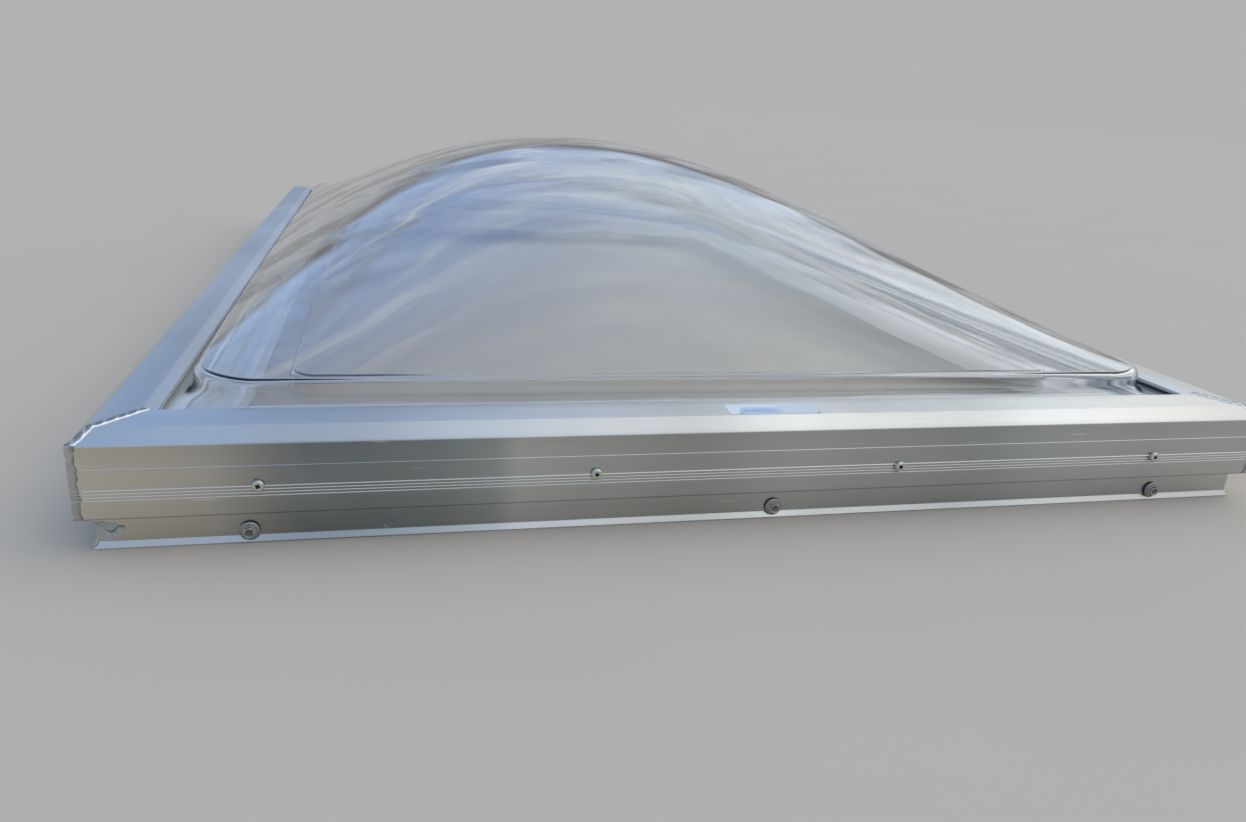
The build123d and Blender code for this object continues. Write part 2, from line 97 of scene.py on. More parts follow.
def grid_faces(rows, columns, wrap_columns=False, start=0):
    """Quads of a grid of points, numbered row by row from start."""
    i = np.arange(rows - 1)[:, None]
    j = np.arange(columns if wrap_columns else columns - 1)[None, :]
    after = (j + 1) % columns
    corners = [i * columns + j, i * columns + after, (i + 1) * columns + after, (i + 1) * columns + j]
    return (np.stack(corners, -1).reshape(-1, 4) + start).tolist()


def closed_tube(rows, columns):
    """Faces of a tube with closed ends. Seen from before its first ring, each ring runs anticlockwise."""
    sides = [face[::-1] for face in grid_faces(rows, columns, wrap_columns=True)]
    last = (rows - 1) * columns
    return sides + [list(range(columns)), list(range(last + columns - 1, last - 1, -1))]


def closed_turn(rows, columns):
    """Faces of rings stacked upwards, anticlockwise from above, closed by two poles: the last two points."""
    here = np.arange(columns)
    after = np.roll(here, -1)
    last, pole = (rows - 1) * columns, np.full(columns, rows * columns)
    low = np.stack([after, here, pole], -1).tolist()
    high = np.stack([last + here, last + after, pole + 1], -1).tolist()
    return grid_faces(rows, columns, wrap_columns=True) + low + high


def closed_sheet(top, low):
    """A shell from two grids of points: low is turned over, and walls join the borders."""
    rows, columns = top.shape[:2]
    count = rows * columns
    place = np.arange(count).reshape(rows, columns)
    border = np.concatenate([place[0, :-1], place[:-1, -1], place[-1, :0:-1], place[:0:-1, 0]])
    after = np.roll(border, -1)
    walls = np.stack([border, border + count, after + count, after], -1).tolist()
    faces = grid_faces(rows, columns) + [face[::-1] for face in grid_faces(rows, columns, start=count)]
    return np.concatenate([top.reshape(-1, 3), low.reshape(-1, 3)]), faces + walls


def joined(forms):
    """Several (points, faces) as one."""
    starts = np.cumsum([0] + [len(points) for points, _ in forms])
    faces = [[k + start for k in face] for (_, fs), start in zip(forms, starts) for face in fs]
    return np.concatenate([points for points, _ in forms]), faces


def to_side(side, x, u, z):
    """Points given along a side, inward from the cap's face and up, in the frame's own place."""
    turns, _, half = SIDES[side]
    y = u - half
    for _ in range(turns):
        x, y = -y, x
    return np.stack(np.broadcast_arrays(x, y, z), -1)


def to_corner(corner, p, q, z):
    """Points given inward from both of a corner's faces, p and q, and up."""
    x0, y0 = CORNERS[corner]
    for _ in range(corner):
        p, q = -q, p
    return np.stack(np.broadcast_arrays(x0 + p, y0 + q, z), -1)


def swept_bar(side, x, outlines):
    """A closed bar: outline i of (u, z) points stands at x[i] along the side."""
    points = to_side(side, x, outlines[..., 0], outlines[..., 1]).reshape(-1, 3)
    return points, closed_tube(*outlines.shape[:2])


def unit(vectors):
    """Vectors brought to a length of one. One of no length stays nought."""
    return vectors / np.maximum(np.linalg.norm(vectors, axis=-1, keepdims=True), 1e-9)


def arc_corners(points, steps=5):
    """A closed outline with its corners rounded. Each point is (u, z, radius).

    A corner becomes an arc that touches both of its lines: it turns by the angle between them, about a
    centre on their bisector. A corner of no radius stays one point.
    """
    points = np.array(points, float)
    corner, radius = points[:, :2], points[:, 2:]
    back, ahead = unit(np.roll(corner, 1, 0) - corner), unit(np.roll(corner, -1, 0) - corner)
    half = np.arccos(np.clip((back * ahead).sum(1, keepdims=True), -1, 1)) / 2
    centre = corner + unit(back + ahead) * radius / np.sin(half)
    first = corner + back * radius / np.tan(half) - centre
    sense = np.sign(back[:, 1:] * ahead[:, :1] - back[:, :1] * ahead[:, 1:])
    turn = sense * (math.pi - 2 * half) * np.linspace(0, 1, steps)[None, :]
    c, s = np.cos(turn), np.sin(turn)
    u = centre[:, :1] + c * first[:, :1] - s * first[:, 1:]
    z = centre[:, 1:] + s * first[:, :1] + c * first[:, 1:]
    rounded = radius > 0
    outline = np.stack([np.where(rounded, u, corner[:, :1]), np.where(rounded, z, corner[:, 1:])], -1)
    return outline[rounded | (np.arange(steps)[None, :] == 0)]


def bell(x, width):
    """exp(-(x / width)^2): 1 at nought, and next to nothing past twice the width."""
    return np.exp(-((x / width) ** 2))


# Cap rails

# How far outside a bend's arc its supporting points stand.
BEND_GAP = 0.25 * MM
# How far from a corner the ribs start, and where they reach their full height. Rings of points stand at least
# RING_GAP apart, and a second full ring stands EVEN_GAP from the first.
RIB_START, RIB_FULL, RING_GAP, EVEN_GAP = 7.2 * MM, 8.6 * MM, 0.2 * MM, 0.6 * MM


def supported(points):
    """An outline of (u, z, radius) points with a plain point on each side of the cap's main bends.

    They stand outside the bend's arc, so that the flats beside it keep their own normals.
    """
    made = []
    for before, here, after in zip([points[-1]] + points[:-1], points, points[1:] + points[:1]):
        if here[2] < CAP_ROUND:
            made.append(here)
            continue
        corner = np.array(here[:2])
        back, ahead = unit(np.array(before[:2]) - corner), unit(np.array(after[:2]) - corner)
        reach = here[2] / math.tan(math.acos(np.clip(back @ ahead, -1, 1)) / 2) + BEND_GAP
        made += [(*(corner + back * reach), 0), here, (*(corner + ahead * reach), 0)]
    return made


def cap_outline():
    """Outer line with ribs, nose, inner line with web and foot, as (u, z) points."""
    outer = [(0, SKIRT_BOTTOM, EDGE_ROUND)]
    for z in RIBS:
        outer += [(0, z - RIB_FOOT, 0), (-RIB_OUT, z - RIB_CREST, RIB_ROUND)]
        outer += [(-RIB_OUT, z + RIB_CREST, RIB_ROUND), (0, z + RIB_FOOT, 0)]
    outer += [(0, LINE_Z - LINE_HALF, 0), (-LINE_OUT, LINE_Z, LINE_ROUND), (0, LINE_Z + LINE_HALF, 0)]
    outer += [(0, SKIRT_TOP, CAP_ROUND), (BEVEL, RIDGE_Z, CAP_ROUND), (CREASE, CREASE_Z, CAP_ROUND)]
    outer += [(NOSE, NOSE_Z, CAP_ROUND), (NOSE, NOSE_LOW, NOSE_ROUND), (NOSE - WALL, NOSE_LOW, NOSE_ROUND)]
    slope = (CREASE_Z - RIDGE_Z) / (CREASE - BEVEL)
    under = CREASE_Z - WALL - 0.1 * MM
    web, foot_top = WALL / 2, FOOT_Z + WALL
    inner = [(NOSE - WALL, NOSE_Z - 1.6 * MM, 0), (CREASE, under, 0)]
    inner += [(FOOT + web, under - slope * (CREASE - FOOT - web), 0), (FOOT + web, foot_top, 0)]
    inner += [(FOOT + FOOT_HALF, foot_top, EDGE_ROUND), (FOOT + FOOT_HALF, FOOT_Z, EDGE_ROUND)]
    inner += [(FOOT - FOOT_HALF, FOOT_Z, EDGE_ROUND), (FOOT - FOOT_HALF, foot_top, EDGE_ROUND)]
    inner += [(FOOT - web, foot_top, 0), (FOOT - web, under - slope * (CREASE - FOOT + web), 0)]
    inner += [(BEVEL + 0.9 * MM, RIDGE_Z - WALL, 0), (WALL, SKIRT_TOP - 1.0 * MM, 0)]
    inner += [(WALL, SKIRT_BOTTOM, EDGE_ROUND)]
    return arc_corners(supported(outer + inner))


def cap_rail(side):
    """The cap's outline between two mitred ends, its ribs dying away just before each corner's weld.

    A second ribbed ring stands close to the first at each end, so that the long flats between them stay flat.
    """
    length = SIDES[side][1]
    ribbed = cap_outline()
    plain = ribbed.copy()
    plain[:, 0] = np.maximum(plain[:, 0], 0)
    end = length / 2 - plain[:, 0]
    start = np.minimum(end - RING_GAP, length / 2 - RIB_START)
    full = np.minimum(end - 2 * RING_GAP, length / 2 - RIB_FULL)
    even = full - EVEN_GAP
    x = np.stack([-end, -start, -full, -even, even, full, start, end])
    outlines = np.stack([plain] * 2 + [ribbed] * 4 + [plain] * 2)
    form = swept_bar(side, x, outlines)
    piece = mesh_piece(f"cap_rail_{side}_swept", f"cap_rail_{side}", form, 32)
    # The crests of the ribs and of the fine line, which the material paints pale as a painted highlight.
    point_values(piece, "crest", np.clip((-outlines[..., 0] - 0.2 * MM) / (0.3 * MM), 0, 1))
    return piece


cap_rails = {side: cap_rail(side) for side in SIDES}


# Welds over the cap's corners

# How far the underside of a weld or of sealant lies inside the metal that carries it.
SUNK = 0.3 * MM
# A mitre's bead: half its width, its height, the pitches of its dimes and of its fine ripple, and its end.
BEAD_HALF, BEAD_RISE, DIME_PITCH, RIPPLE_PITCH, BEAD_END = 4.2 * MM, 1.1 * MM, 8.4 * MM, 1.3 * MM, 0.9 * MM
# A corner's bead: how far it reaches on each face, how far it stands out, its top and its bottom.
CORNER_HALF, CORNER_OUT = 6.3 * MM, 1.0 * MM
CORNER_TOP, CORNER_BOTTOM = SKIRT_TOP + 1.2 * MM, SKIRT_BOTTOM + 0.1 * MM
# How far the thin edges of both kinds of bead dip into the metal.
EDGE_DIP = 0.25 * MM


def cap_height(u):
    """Height of the cap's outer line over an inset, by straight runs between its bends."""
    return np.interp(u, [0, BEVEL, CREASE, NOSE], [SKIRT_TOP, RIDGE_Z, CREASE_Z, NOSE_Z])


def mitre_weld(corner, seed):
    """The bead over a mitre. s runs down the mitre and t across it, from -1 to 1.

    Height over the cap = 1.1 mm * (1 - t^8) * (0.5 + 0.4 t^2 + dime), where a dime is a soft ridge that
    repeats each 8.4 mm along s - 3.4 mm * (1 - t^2) - 1.2 mm * t, so that its front is curved and slants.
    """
    rng = np.random.default_rng(seed)
    s = np.linspace(0, 1, 150)[:, None]
    t = np.linspace(-1, 1, 25)[None, :]
    reach = (NOSE - BEAD_HALF) * (1 - s) + BEAD_END * s
    wander = 0.25 * MM * np.sin(s * 23 + rng.uniform(0, 6)) + 0.15 * MM * np.sin(s * 57 + rng.uniform(0, 6))
    ends = np.clip(np.minimum(s, 1.02 - s) / 0.05, 0, 1) ** 0.5
    half = (BEAD_HALF + wander) * ends + 0.05 * MM
    half = np.minimum(half, (reach + BEAD_END) * 1.25)
    p, q = reach - half * t / math.sqrt(2), reach + half * t / math.sqrt(2)
    along = reach * math.sqrt(2) - 3.4 * MM * (1 - t**2) - 1.2 * MM * t
    along = along + 0.6 * MM * np.sin(s * 17 + rng.uniform(0, 6))
    phase = np.mod(along / DIME_PITCH, 1)
    fine = np.mod(along / RIPPLE_PITCH, 1)
    dime = 0.38 * bell(phase - 0.3, 0.16) + 0.04 * fine
    rise = BEAD_RISE * (1 - t**8) * (0.5 + 0.4 * t**2 + dime) * ends
    inset = np.minimum(p, q)
    z = cap_height(np.maximum(inset, 0)) + rise - EDGE_DIP * t**8
    z -= np.maximum(-inset, 0) * 1.6
    # Painted highlight along the bead's edges, where it rounds over.
    weld_highlight = bell(np.abs(t) - 0.84, 0.1) * np.ones_like(z)
    # Painted shade in the hollows between the dimes.
    hollow = (1 - dime / 0.42) * np.clip(1.2 - (t / 0.72) ** 2, 0, 1) * ends
    shell = closed_sheet(to_corner(corner, p, q, z), to_corner(corner, p, q, z - SUNK))
    return shell, np.tile(weld_highlight.ravel(), 2), np.tile(hollow.ravel(), 2)


def corner_weld(corner, seed):
    """The bead down a skirt corner. t goes from one face round the corner to the other, z goes down.

    The line through both faces is p = 6.3 mm * soft(-t), q = 6.3 mm * soft(t), with soft(t) =
    (t + root(t^2 + 0.02)) / 2, moved out by 1 mm * (1 - t^6) * (0.7 + 0.2 * waves down the bead), and a
    little more where each rib runs out in it.
    """
    rng = np.random.default_rng(seed)
    t = np.linspace(-1, 1, 33)[None, :]
    drop = np.linspace(0, 1, 120)[:, None]
    waves = np.sin(drop * 41 + 3 * t**2 + rng.uniform(0, 6)) * 0.5
    waves = waves + np.sin(drop * 93 + rng.uniform(0, 6)) * 0.3
    sway = 0.09 * np.sin(drop * 19 + rng.uniform(0, 6)) * np.sign(t) + 0.05 * np.sin(drop * 47)
    wide = CORNER_HALF * (1 + sway)
    p = wide * (-t + np.sqrt(t**2 + 0.02)) / 2
    q = wide * (t + np.sqrt(t**2 + 0.02)) / 2
    turn = math.pi / 4 * (1 + np.tanh(4 * t))
    ends = np.clip(np.minimum(drop, 1 - drop) / 0.03, 0, 1) ** 0.5
    out = CORNER_OUT * (1 - t**6) * (0.7 + 0.2 * waves) * (0.35 + 0.65 * ends) - EDGE_DIP * t**6
    z = CORNER_TOP - drop * (CORNER_TOP - CORNER_BOTTOM)
    stub = bell(z[..., None] - RIBS, 0.55 * MM).sum(-1) * np.abs(t) ** 0.5
    fit = np.minimum(out + 0.3 * MM * stub, CORNER_OUT)
    skins = [(p - depth * np.sin(turn), q - depth * np.cos(turn)) for depth in (fit, fit - SUNK)]
    shell = closed_sheet(*[to_corner(corner, across, inward, z) for across, inward in skins])
    # Painted highlights where the ribs run into the bead and in spots down its crown.
    weld_highlight = 0.5 * stub + 0.8 * bell(t, 0.3) * np.clip(np.sin(drop * 33 + 2) - 0.5, 0, 1)
    # Painted shade across the ribs' band, darker towards the bead's edges save where the ribs run in.
    band = np.clip(1 - np.abs(z - RIBS.mean()) / (6 * MM), 0, 1)
    # Painted shadow along the bead's edges, with a wave down it.
    shadow_wave = 0.5 + 0.5 * np.sin(drop * 37 + 5 * np.sin(drop * 11) + rng.uniform(0, 6))
    scorch = bell(drop, 0.05) * bell(np.abs(t) - 0.7, 0.35)
    bead_edge_shadow = bell(np.abs(t) - 0.9, 0.2) * (0.35 + 0.65 * shadow_wave)
    # All dark marks of the bead together: painted shade, and real scorch at its top.
    hollow = np.clip(bead_edge_shadow + 0.7 * band * np.abs(t) * (1 - stub) + 0.8 * scorch, 0, 1)
    return shell, np.tile(weld_highlight.ravel(), 2), np.tile(hollow.ravel(), 2)


welds = []
for corner in range(4):
    welds += [mitre_weld(corner, 11 + corner), corner_weld(corner, 31 + corner)]
shells, weld_highlights, hollows = zip(*welds)
weld_beads = mesh_piece("cap_corner_weld_beads", "cap_corner_welds", joined(shells), 55)
# The beads' painted highlights and painted shade, for their material.
point_values(weld_beads, "weld_highlight", np.concatenate(weld_highlights))
point_values(weld_beads, "hollow", np.concatenate(hollows))


# Domes

# The inset and the corner radius of both flanges' edge.
FLANGE_INSET, FLANGE_CORNER = 14 * MM, 12 * MM
# How far those edges are chamfered.
EDGE_CHAMFER = 0.3 * MM
# Points on each short side, on each long side and round each corner of a dome's ring.
RING_COUNTS = (70, 110, 26)


def membrane(x, y, a, b, terms=14):
    """Height of a sheet blown over a rectangle of half sizes a and b.

    It is the sum of (-1)^k / (2k+1)^3 cos(m x/a) (1 - cosh(m y/a) / cosh(m b/a)), with m = (2k+1) pi/2.
    """
    total = np.zeros(np.broadcast(x, y).shape)
    for k in range(terms):
        m = (2 * k + 1) * math.pi / 2
        edge = 1 + math.exp(-2 * m * b / a)
        ratio = np.exp(m * (np.abs(y) - b) / a) * (1 + np.exp(-2 * m * np.abs(y) / a)) / edge
        total += (-1) ** k / (2 * k + 1) ** 3 * np.cos(m * x / a) * (1 - ratio)
    return total


def rounded_rectangle(a, b, c):
    """Points and outward normals round a rectangle of half sizes a and b with corner radius c.

    Each side and each corner has a fixed count of points, so that two of these match column by column.
    """
    short, long, corner = RING_COUNTS
    points, normals = [], []
    for k in range(4):
        turn = k * math.pi / 2
        half, reach, count = (b, a, long) if k % 2 == 0 else (a, b, short)
        ramp = np.linspace(-1, 1, count, endpoint=False)
        ramp = np.sin(ramp * math.pi / 2) * 0.35 + ramp * 0.65
        run = np.stack([np.full(count, reach), ramp * (half - c)], -1)
        angle = np.linspace(0, math.pi / 2, corner, endpoint=False)
        ring = np.stack([np.cos(angle), np.sin(angle)], -1)
        rotate = np.array([[math.cos(turn), math.sin(turn)], [-math.sin(turn), math.cos(turn)]])
        points += [run @ rotate, (np.array([reach - c, half - c]) + c * ring) @ rotate]
        normals += [np.tile([1.0, 0.0], (count, 1)) @ rotate, ring @ rotate]
    return np.concatenate(points), np.concatenate(normals)


def dome(node, **millimetres):
    """A blown dome of even wall, closed, over a rounded rectangle.

    Row by row: the crown z = foot + rise * membrane / peak from its middle out to the knee, a knee arc that
    touches the crown's slope and the riser, the riser, the bend and the flange. The inner skin is the outer
    one moved along its normal by the sheet's thickness.
    """
    sizes = ("inset", "sheet", "corner", "flange_bottom", "riser", "rise", "knee", "bend")
    inset, sheet, corner, flange_bottom, riser, rise, knee, bend = [millimetres[size] * MM for size in sizes]
    a, b = WIDTH / 2 - inset, DEPTH / 2 - inset
    top = flange_bottom + sheet
    foot = top + riser
    peak = float(membrane(np.array(0.0), np.array(0.0), a, b))
    base, out = rounded_rectangle(a, b, corner)
    edge, _ = rounded_rectangle(WIDTH / 2 - FLANGE_INSET, DEPTH / 2 - FLANGE_INSET, FLANGE_CORNER)

    def height(p):
        return foot + rise * membrane(p[..., 0], p[..., 1], a, b) / peak

    def gradient(p):
        step = 0.2 * MM
        dx, dy = np.array([step, 0]), np.array([0, step])
        return np.stack([height(p + dx) - height(p - dx), height(p + dy) - height(p - dy)], -1) / (2 * step)

    reach = np.full(len(base), knee * 0.5)
    for _ in range(6):
        slope = -(gradient(base - out * reach[:, None]) * out).sum(-1)
        tilt = np.arctan(np.maximum(slope, 0))
        reach = knee * (1 - np.sin(tilt))
    start = base - out * reach[:, None]
    centre = height(start) - knee * np.cos(tilt)

    points, normals = [], []

    def ring(plan, z, across, up):
        """One row: its points' plan and height, and its normals' plan and upright parts."""
        ones = np.ones((len(plan), 1))
        points.append(np.hstack([plan, np.reshape(z, (-1, 1)) * ones]))
        normals.append(np.hstack([across, np.reshape(up, (-1, 1)) * ones]))

    for s in np.sin(np.linspace(0, 1, 64)[1:] * math.pi / 2):
        ring(start * s, height(start * s), -gradient(start * s), 1)
    for t in np.linspace(1, 0, 9)[1:]:
        angle = t * (math.pi / 2 - tilt)
        inward = out * (knee * (1 - np.cos(angle)))[:, None]
        ring(base - inward, centre + knee * np.sin(angle), out * np.cos(angle)[:, None], np.sin(angle))
    bend_top = top + bend
    for t in (0.33, 0.66):
        ring(base, centre * (1 - t) + bend_top * t, out, 0)
    for angle in np.linspace(0, math.pi / 2, 9):
        c, s = math.cos(angle), math.sin(angle)
        ring(base + out * bend * (1 - c), bend_top - bend * s, out * c, s)
    for t in (0.3, 0.65, 0.985, 1.0):
        ring((base + out * bend) * (1 - t) + edge * t, top, 0 * out, 1)

    points, normals = np.array(points), unit(np.array(normals))
    points[-1, :, 2] -= EDGE_CHAMFER
    inner = points - sheet * normals
    inner[-1, :, 2] = flange_bottom + EDGE_CHAMFER
    skins = np.concatenate([points, inner[::-1]])
    poles = np.array([[0, 0, foot + rise], [0, 0, foot + rise - sheet]])
    faces = [face[::-1] for face in closed_turn(*skins.shape[:2])]
    form = np.concatenate([skins.reshape(-1, 3), poles]), faces
    return mesh_piece(f"{node}_blown", node, form, 60)


outer_dome = dome(
    "outer_dome", inset=64, sheet=4.5, corner=55, flange_bottom=83, riser=23.5, rise=161, knee=8.5, bend=12
)
inner_dome = dome(
    "inner_dome", inset=134, sheet=3, corner=25, flange_bottom=77, riser=12, rise=118, knee=5, bend=4
)


# Screws

# Points round a pan head and round a hexagon head.
PAN_COLUMNS, HEX_COLUMNS = 48, 60


def spread(length, end, pitch):
    """Even places along a side, from end to end at no more than the pitch, give or take a hair."""
    gaps = math.ceil((length - 2 * end) / pitch - 0.02)
    return (length - 2 * end) * (np.arange(gaps + 1) / gaps - 0.5)


def screw_places(end, pitch, z, drift):
    """(side, x, z) of each screw. The front row drifts from the even places by the given millimetres."""
    places = []
    for side, (_, length, _) in SIDES.items():
        for k, x in enumerate(spread(length, end, pitch)):
            dx, dz = drift[k] if side == "front" else (0, 0)
            places.append((side, x + dx * MM, z + dz * MM))
    return places


CAP_DRIFT = [(0, 0.8), (-8.1, 1.1), (0.8, -1.6), (5.8, -0.9)]
CURB_DRIFT = [(8.5, -0.2), (22.2, 0.3), (5.7, 0.1)]
CAP_PLACES = screw_places(end=125 * MM, pitch=285 * MM, z=50.49 * MM, drift=CAP_DRIFT)
CURB_PLACES = screw_places(end=107 * MM, pitch=420 * MM, z=10 * MM, drift=CURB_DRIFT)


def turned(radius, height):
    """A turned form: radius[i, j] at angle j and height[i], closed by a pole at each end.

    x = radius * cos(angle), y = radius * sin(angle), z = height.
    """
    rows, columns = radius.shape
    angle = np.arange(columns) * 2 * math.pi / columns
    level = np.broadcast_to(height[:, None], radius.shape)
    body = np.stack([radius * np.cos(angle), radius * np.sin(angle), level], -1).reshape(-1, 3)
    poles = np.array([[0, 0, height[0]], [0, 0, height[-1]]])
    return np.concatenate([body, poles]), closed_turn(rows, columns)


def thread(length, pitch, columns, rows):
    """A screw's threaded shank below the origin, from its point up: core 1.75 mm, crest 2.35 mm."""
    h = np.linspace(-length, 0, rows)[:, None]
    angle = np.arange(columns)[None, :] / columns
    phase = np.mod(h / pitch - angle, 1)
    ridge = np.clip(1 - np.abs(phase - 0.5) / 0.28, 0, 1)
    radius = (1.75 + 0.6 * ridge) * MM
    return np.minimum(radius, (h + length) * 0.85 + 0.15 * MM), h[:, 0]


def lathe_rows(rows, columns=48):
    """The radii and heights of a turned form from (radius, height) rows in millimetres."""
    radius = np.stack([np.broadcast_to(r, columns) for r, _ in rows]) * MM
    return radius, np.array([h for _, h in rows]) * MM


def screw(shank, head):
    """A turned screw from its shank's and its head's radii and heights."""
    return turned(np.concatenate([shank[0], head[0]]), np.concatenate([shank[1], head[1]]))


def pan_head():
    """Pan head with a square socket: a round crown to 3.3 mm, then the socket's four walls and its floor."""
    angle = np.arange(PAN_COLUMNS) * 2 * math.pi / PAN_COLUMNS
    square = 1.45 / np.maximum(np.abs(np.cos(angle)), np.abs(np.sin(angle)))
    crown = [(2.9 + 1.7 * math.cos(a), 1.6 + 1.7 * math.sin(a)) for a in np.linspace(0, math.pi / 2, 8)]
    socket = [(square * 1.12, 3.32), (square, 3.18), (square * 0.97, 1.6), (square * 0.9, 1.5)]
    shank = thread(19 * MM, 1.8 * MM, PAN_COLUMNS, 44)
    return screw(shank, lathe_rows([(4.55, 0.0), (4.6, 0.15)] + crown + socket, PAN_COLUMNS))


def hex_head():
    """Hexagon, 8 mm across its flats, on a domed collar, with a chamfered and slightly hollow top."""
    angle = np.arange(HEX_COLUMNS) * 2 * math.pi / HEX_COLUMNS
    flat = 4.0 / np.cos(np.mod(angle, math.pi / 3) - math.pi / 6)
    collar = [(5.1, 0.0), (5.25, 0.2), (5.2, 0.45), (4.95, 0.76)]
    hexagon = [(flat * 1.02, 0.88), (flat, 1.05), (flat, 3.05)]
    chamfer = [(np.minimum(flat, 4.42), 3.4), (np.minimum(flat, 4.02), 3.72)]
    hollow = [(3.5, 3.8), (2.9, 3.45), (1.6, 3.2)]
    shank = thread(38 * MM, 2.4 * MM, HEX_COLUMNS, 90)
    return screw(shank, lathe_rows(collar + hexagon + chamfer + hollow, HEX_COLUMNS))


def on_places(form, places, u, seed):
    """Copies of a form at the places, pointing out of their sides at an inset, each at its own turn."""
    points, faces = form
    rng = np.random.default_rng(seed)
    copies = []
    for side, x, z in places:
        a = rng.uniform(0, 2 * math.pi)
        across = points[:, 0] * math.cos(a) - points[:, 1] * math.sin(a)
        up = points[:, 0] * math.sin(a) + points[:, 1] * math.cos(a)
        copies.append((to_side(side, x + across, u - points[:, 2], z + up), faces))
    return joined(copies)


def shade_recesses(piece, form, count, marked, value):
    """Marks the last points of each copy of a turned form, the recess in its head, for painted shade, and the
    pole over them.

    The last two points are the poles, so the marked ones stand before them.
    """
    recess_shade = np.zeros(len(form[0]))
    recess_shade[-2 - marked : -2] = value
    recess_shade[-1] = value
    point_values(piece, "recess_shade", np.tile(recess_shade, count))


WASHER = [(2.5, 0.05), (7.2, 0.0), (7.5, 0.12), (7.5, 0.35), (7.1, 0.6), (6.0, 0.9), (5.0, 1.0), (2.5, 1.0)]
SEAL = [(2.5, 0.0), (6.95, 0.0), (7.35, 0.35), (7.45, 0.9), (7.35, 1.45), (6.95, 1.8), (2.5, 1.8)]

pans = on_places(pan_head(), CAP_PLACES, -0.6 * MM, 5)
hexes = on_places(hex_head(), CURB_PLACES, 7.6 * MM, 6)
domed = on_places(turned(*lathe_rows(WASHER)), CURB_PLACES, 8.6 * MM, 7)
discs = on_places(turned(*lathe_rows(SEAL)), CURB_PLACES, 10.4 * MM, 8)
cap_screws = mesh_piece("cap_screw_set", "cap_screws", pans, 35)
# Painted shade in the pan heads' sockets.
shade_recesses(cap_screws, pan_head(), len(CAP_PLACES), 3 * PAN_COLUMNS, 1.0)
curb_screws = mesh_piece("curb_screw_set", "curb_screws", hexes, 35)
# Painted shade, a little lighter, in the hex heads' hollow tops.
shade_recesses(curb_screws, hex_head(), len(CURB_PLACES), 2 * HEX_COLUMNS, 0.7)
washers = mesh_piece("curb_washer_set", "curb_screw_washers", domed, 40)
seals = mesh_piece("curb_seal_washer_set", "curb_screw_seals", discs, 40)


# Strips of foam, tape and gasket

# The length of the wave whose square is the spacer's ripple.
WAVE_PITCH = 15 * MM


def strip_ring(node, insets, heights, bulge, wobble, ripple=0.0, seed=1):
    """Four strips, butted at the corners, with flat faces and edges that bulge as half ellipses.

    Each edge wanders by wobble * the sum of three sines along the strip, and the top sinks by ripple times a
    wave that fades from the inner edge outward. All sizes are in millimetres.
    """
    rng = np.random.default_rng(seed)
    (u0, u1), (z0, z1) = np.array(insets) * MM, np.array(heights) * MM
    bulge, wobble, ripple = bulge * MM, wobble * MM, ripple * MM
    step = 4 * MM if ripple else 16 * MM
    a = np.linspace(-math.pi / 2, math.pi / 2, 7)
    flat = (u1 - u0 - 2 * bulge) * np.linspace(0, 1, 7)[1:-1]
    round_by = bulge - bulge * np.cos(a)
    up = (z0 + z1) / 2 + (z1 - z0) / 2 * np.sin(a)
    u = np.concatenate([u0 + round_by, u0 + bulge + flat, u1 - round_by[::-1], u1 - bulge - flat])
    z = np.concatenate([up, np.full(5, z1), up[::-1], np.full(5, z0)])
    share = (u - u0) / (u1 - u0)
    parts = []
    for side, (_, length, _) in SIDES.items():
        run = length / 2 - (u0 if side in ("front", "back") else u1)
        x = np.linspace(-run, run, int(2 * run / step) + 2)[:, None]
        turns = x @ np.array([[31.0, 83.0, 190.0]]) + rng.uniform(0, 6, 3)
        sway = wobble * (np.sin(turns) @ np.array([0.5, 0.3, 0.2]))[:, None]
        fade = np.minimum(1, (run - np.abs(x)) / (20 * MM))
        u_all = u + sway * fade * np.sign(share - 0.5) * (np.abs(share - 0.5) * 2) ** 2
        wave = np.sin(2 * math.pi * (x + 1.5 * MM * np.sin(x * 60)) / WAVE_PITCH + 2.0 * share) ** 2
        z_all = z - ripple * wave * np.clip(share * 1.6 - 0.6, 0, 1) * (z > (z0 + z1) / 2) * fade
        parts.append(swept_bar(side, x, np.stack([u_all, z_all], -1)))
    return mesh_piece(f"{node}_strips", node, joined(parts), 50)


glazing_tape = strip_ring("glazing_tape", (20, 58), (75, 77), 0.6, 0.5)
spacer_tape = strip_ring("spacer_tape", (22, 63), (80, 83), 0.9, 0.6, ripple=0.9, seed=2)
cap_gasket = strip_ring("cap_gasket", (27, 41), (87.5, 89.7), 0.8, 0.3, seed=3)
curb_seal = strip_ring("curb_seal", (26, 56), (22, 25), 0.8, 0.8, seed=4)


# Label and sealant

# The label's length, height and thickness, and its middle along the front.
LABEL_LONG, LABEL_HIGH, LABEL_THICK, LABEL_X = 81.5 * MM, 20.5 * MM, 0.12 * MM, 17 * MM
# The smear's length and height, its greatest thickness and its foot's height.
SMEAR_LONG, SMEAR_HIGH, SMEAR_THICK, SMEAR_Z = 19 * MM, 15.5 * MM, 1.3 * MM, 6.2 * MM
# The sealant bead's radius, its top and how far it comes down.
SEALANT_RADIUS, SEALANT_TOP, SEALANT_DROP = 1.6 * MM, 21.6 * MM, 18.8 * MM


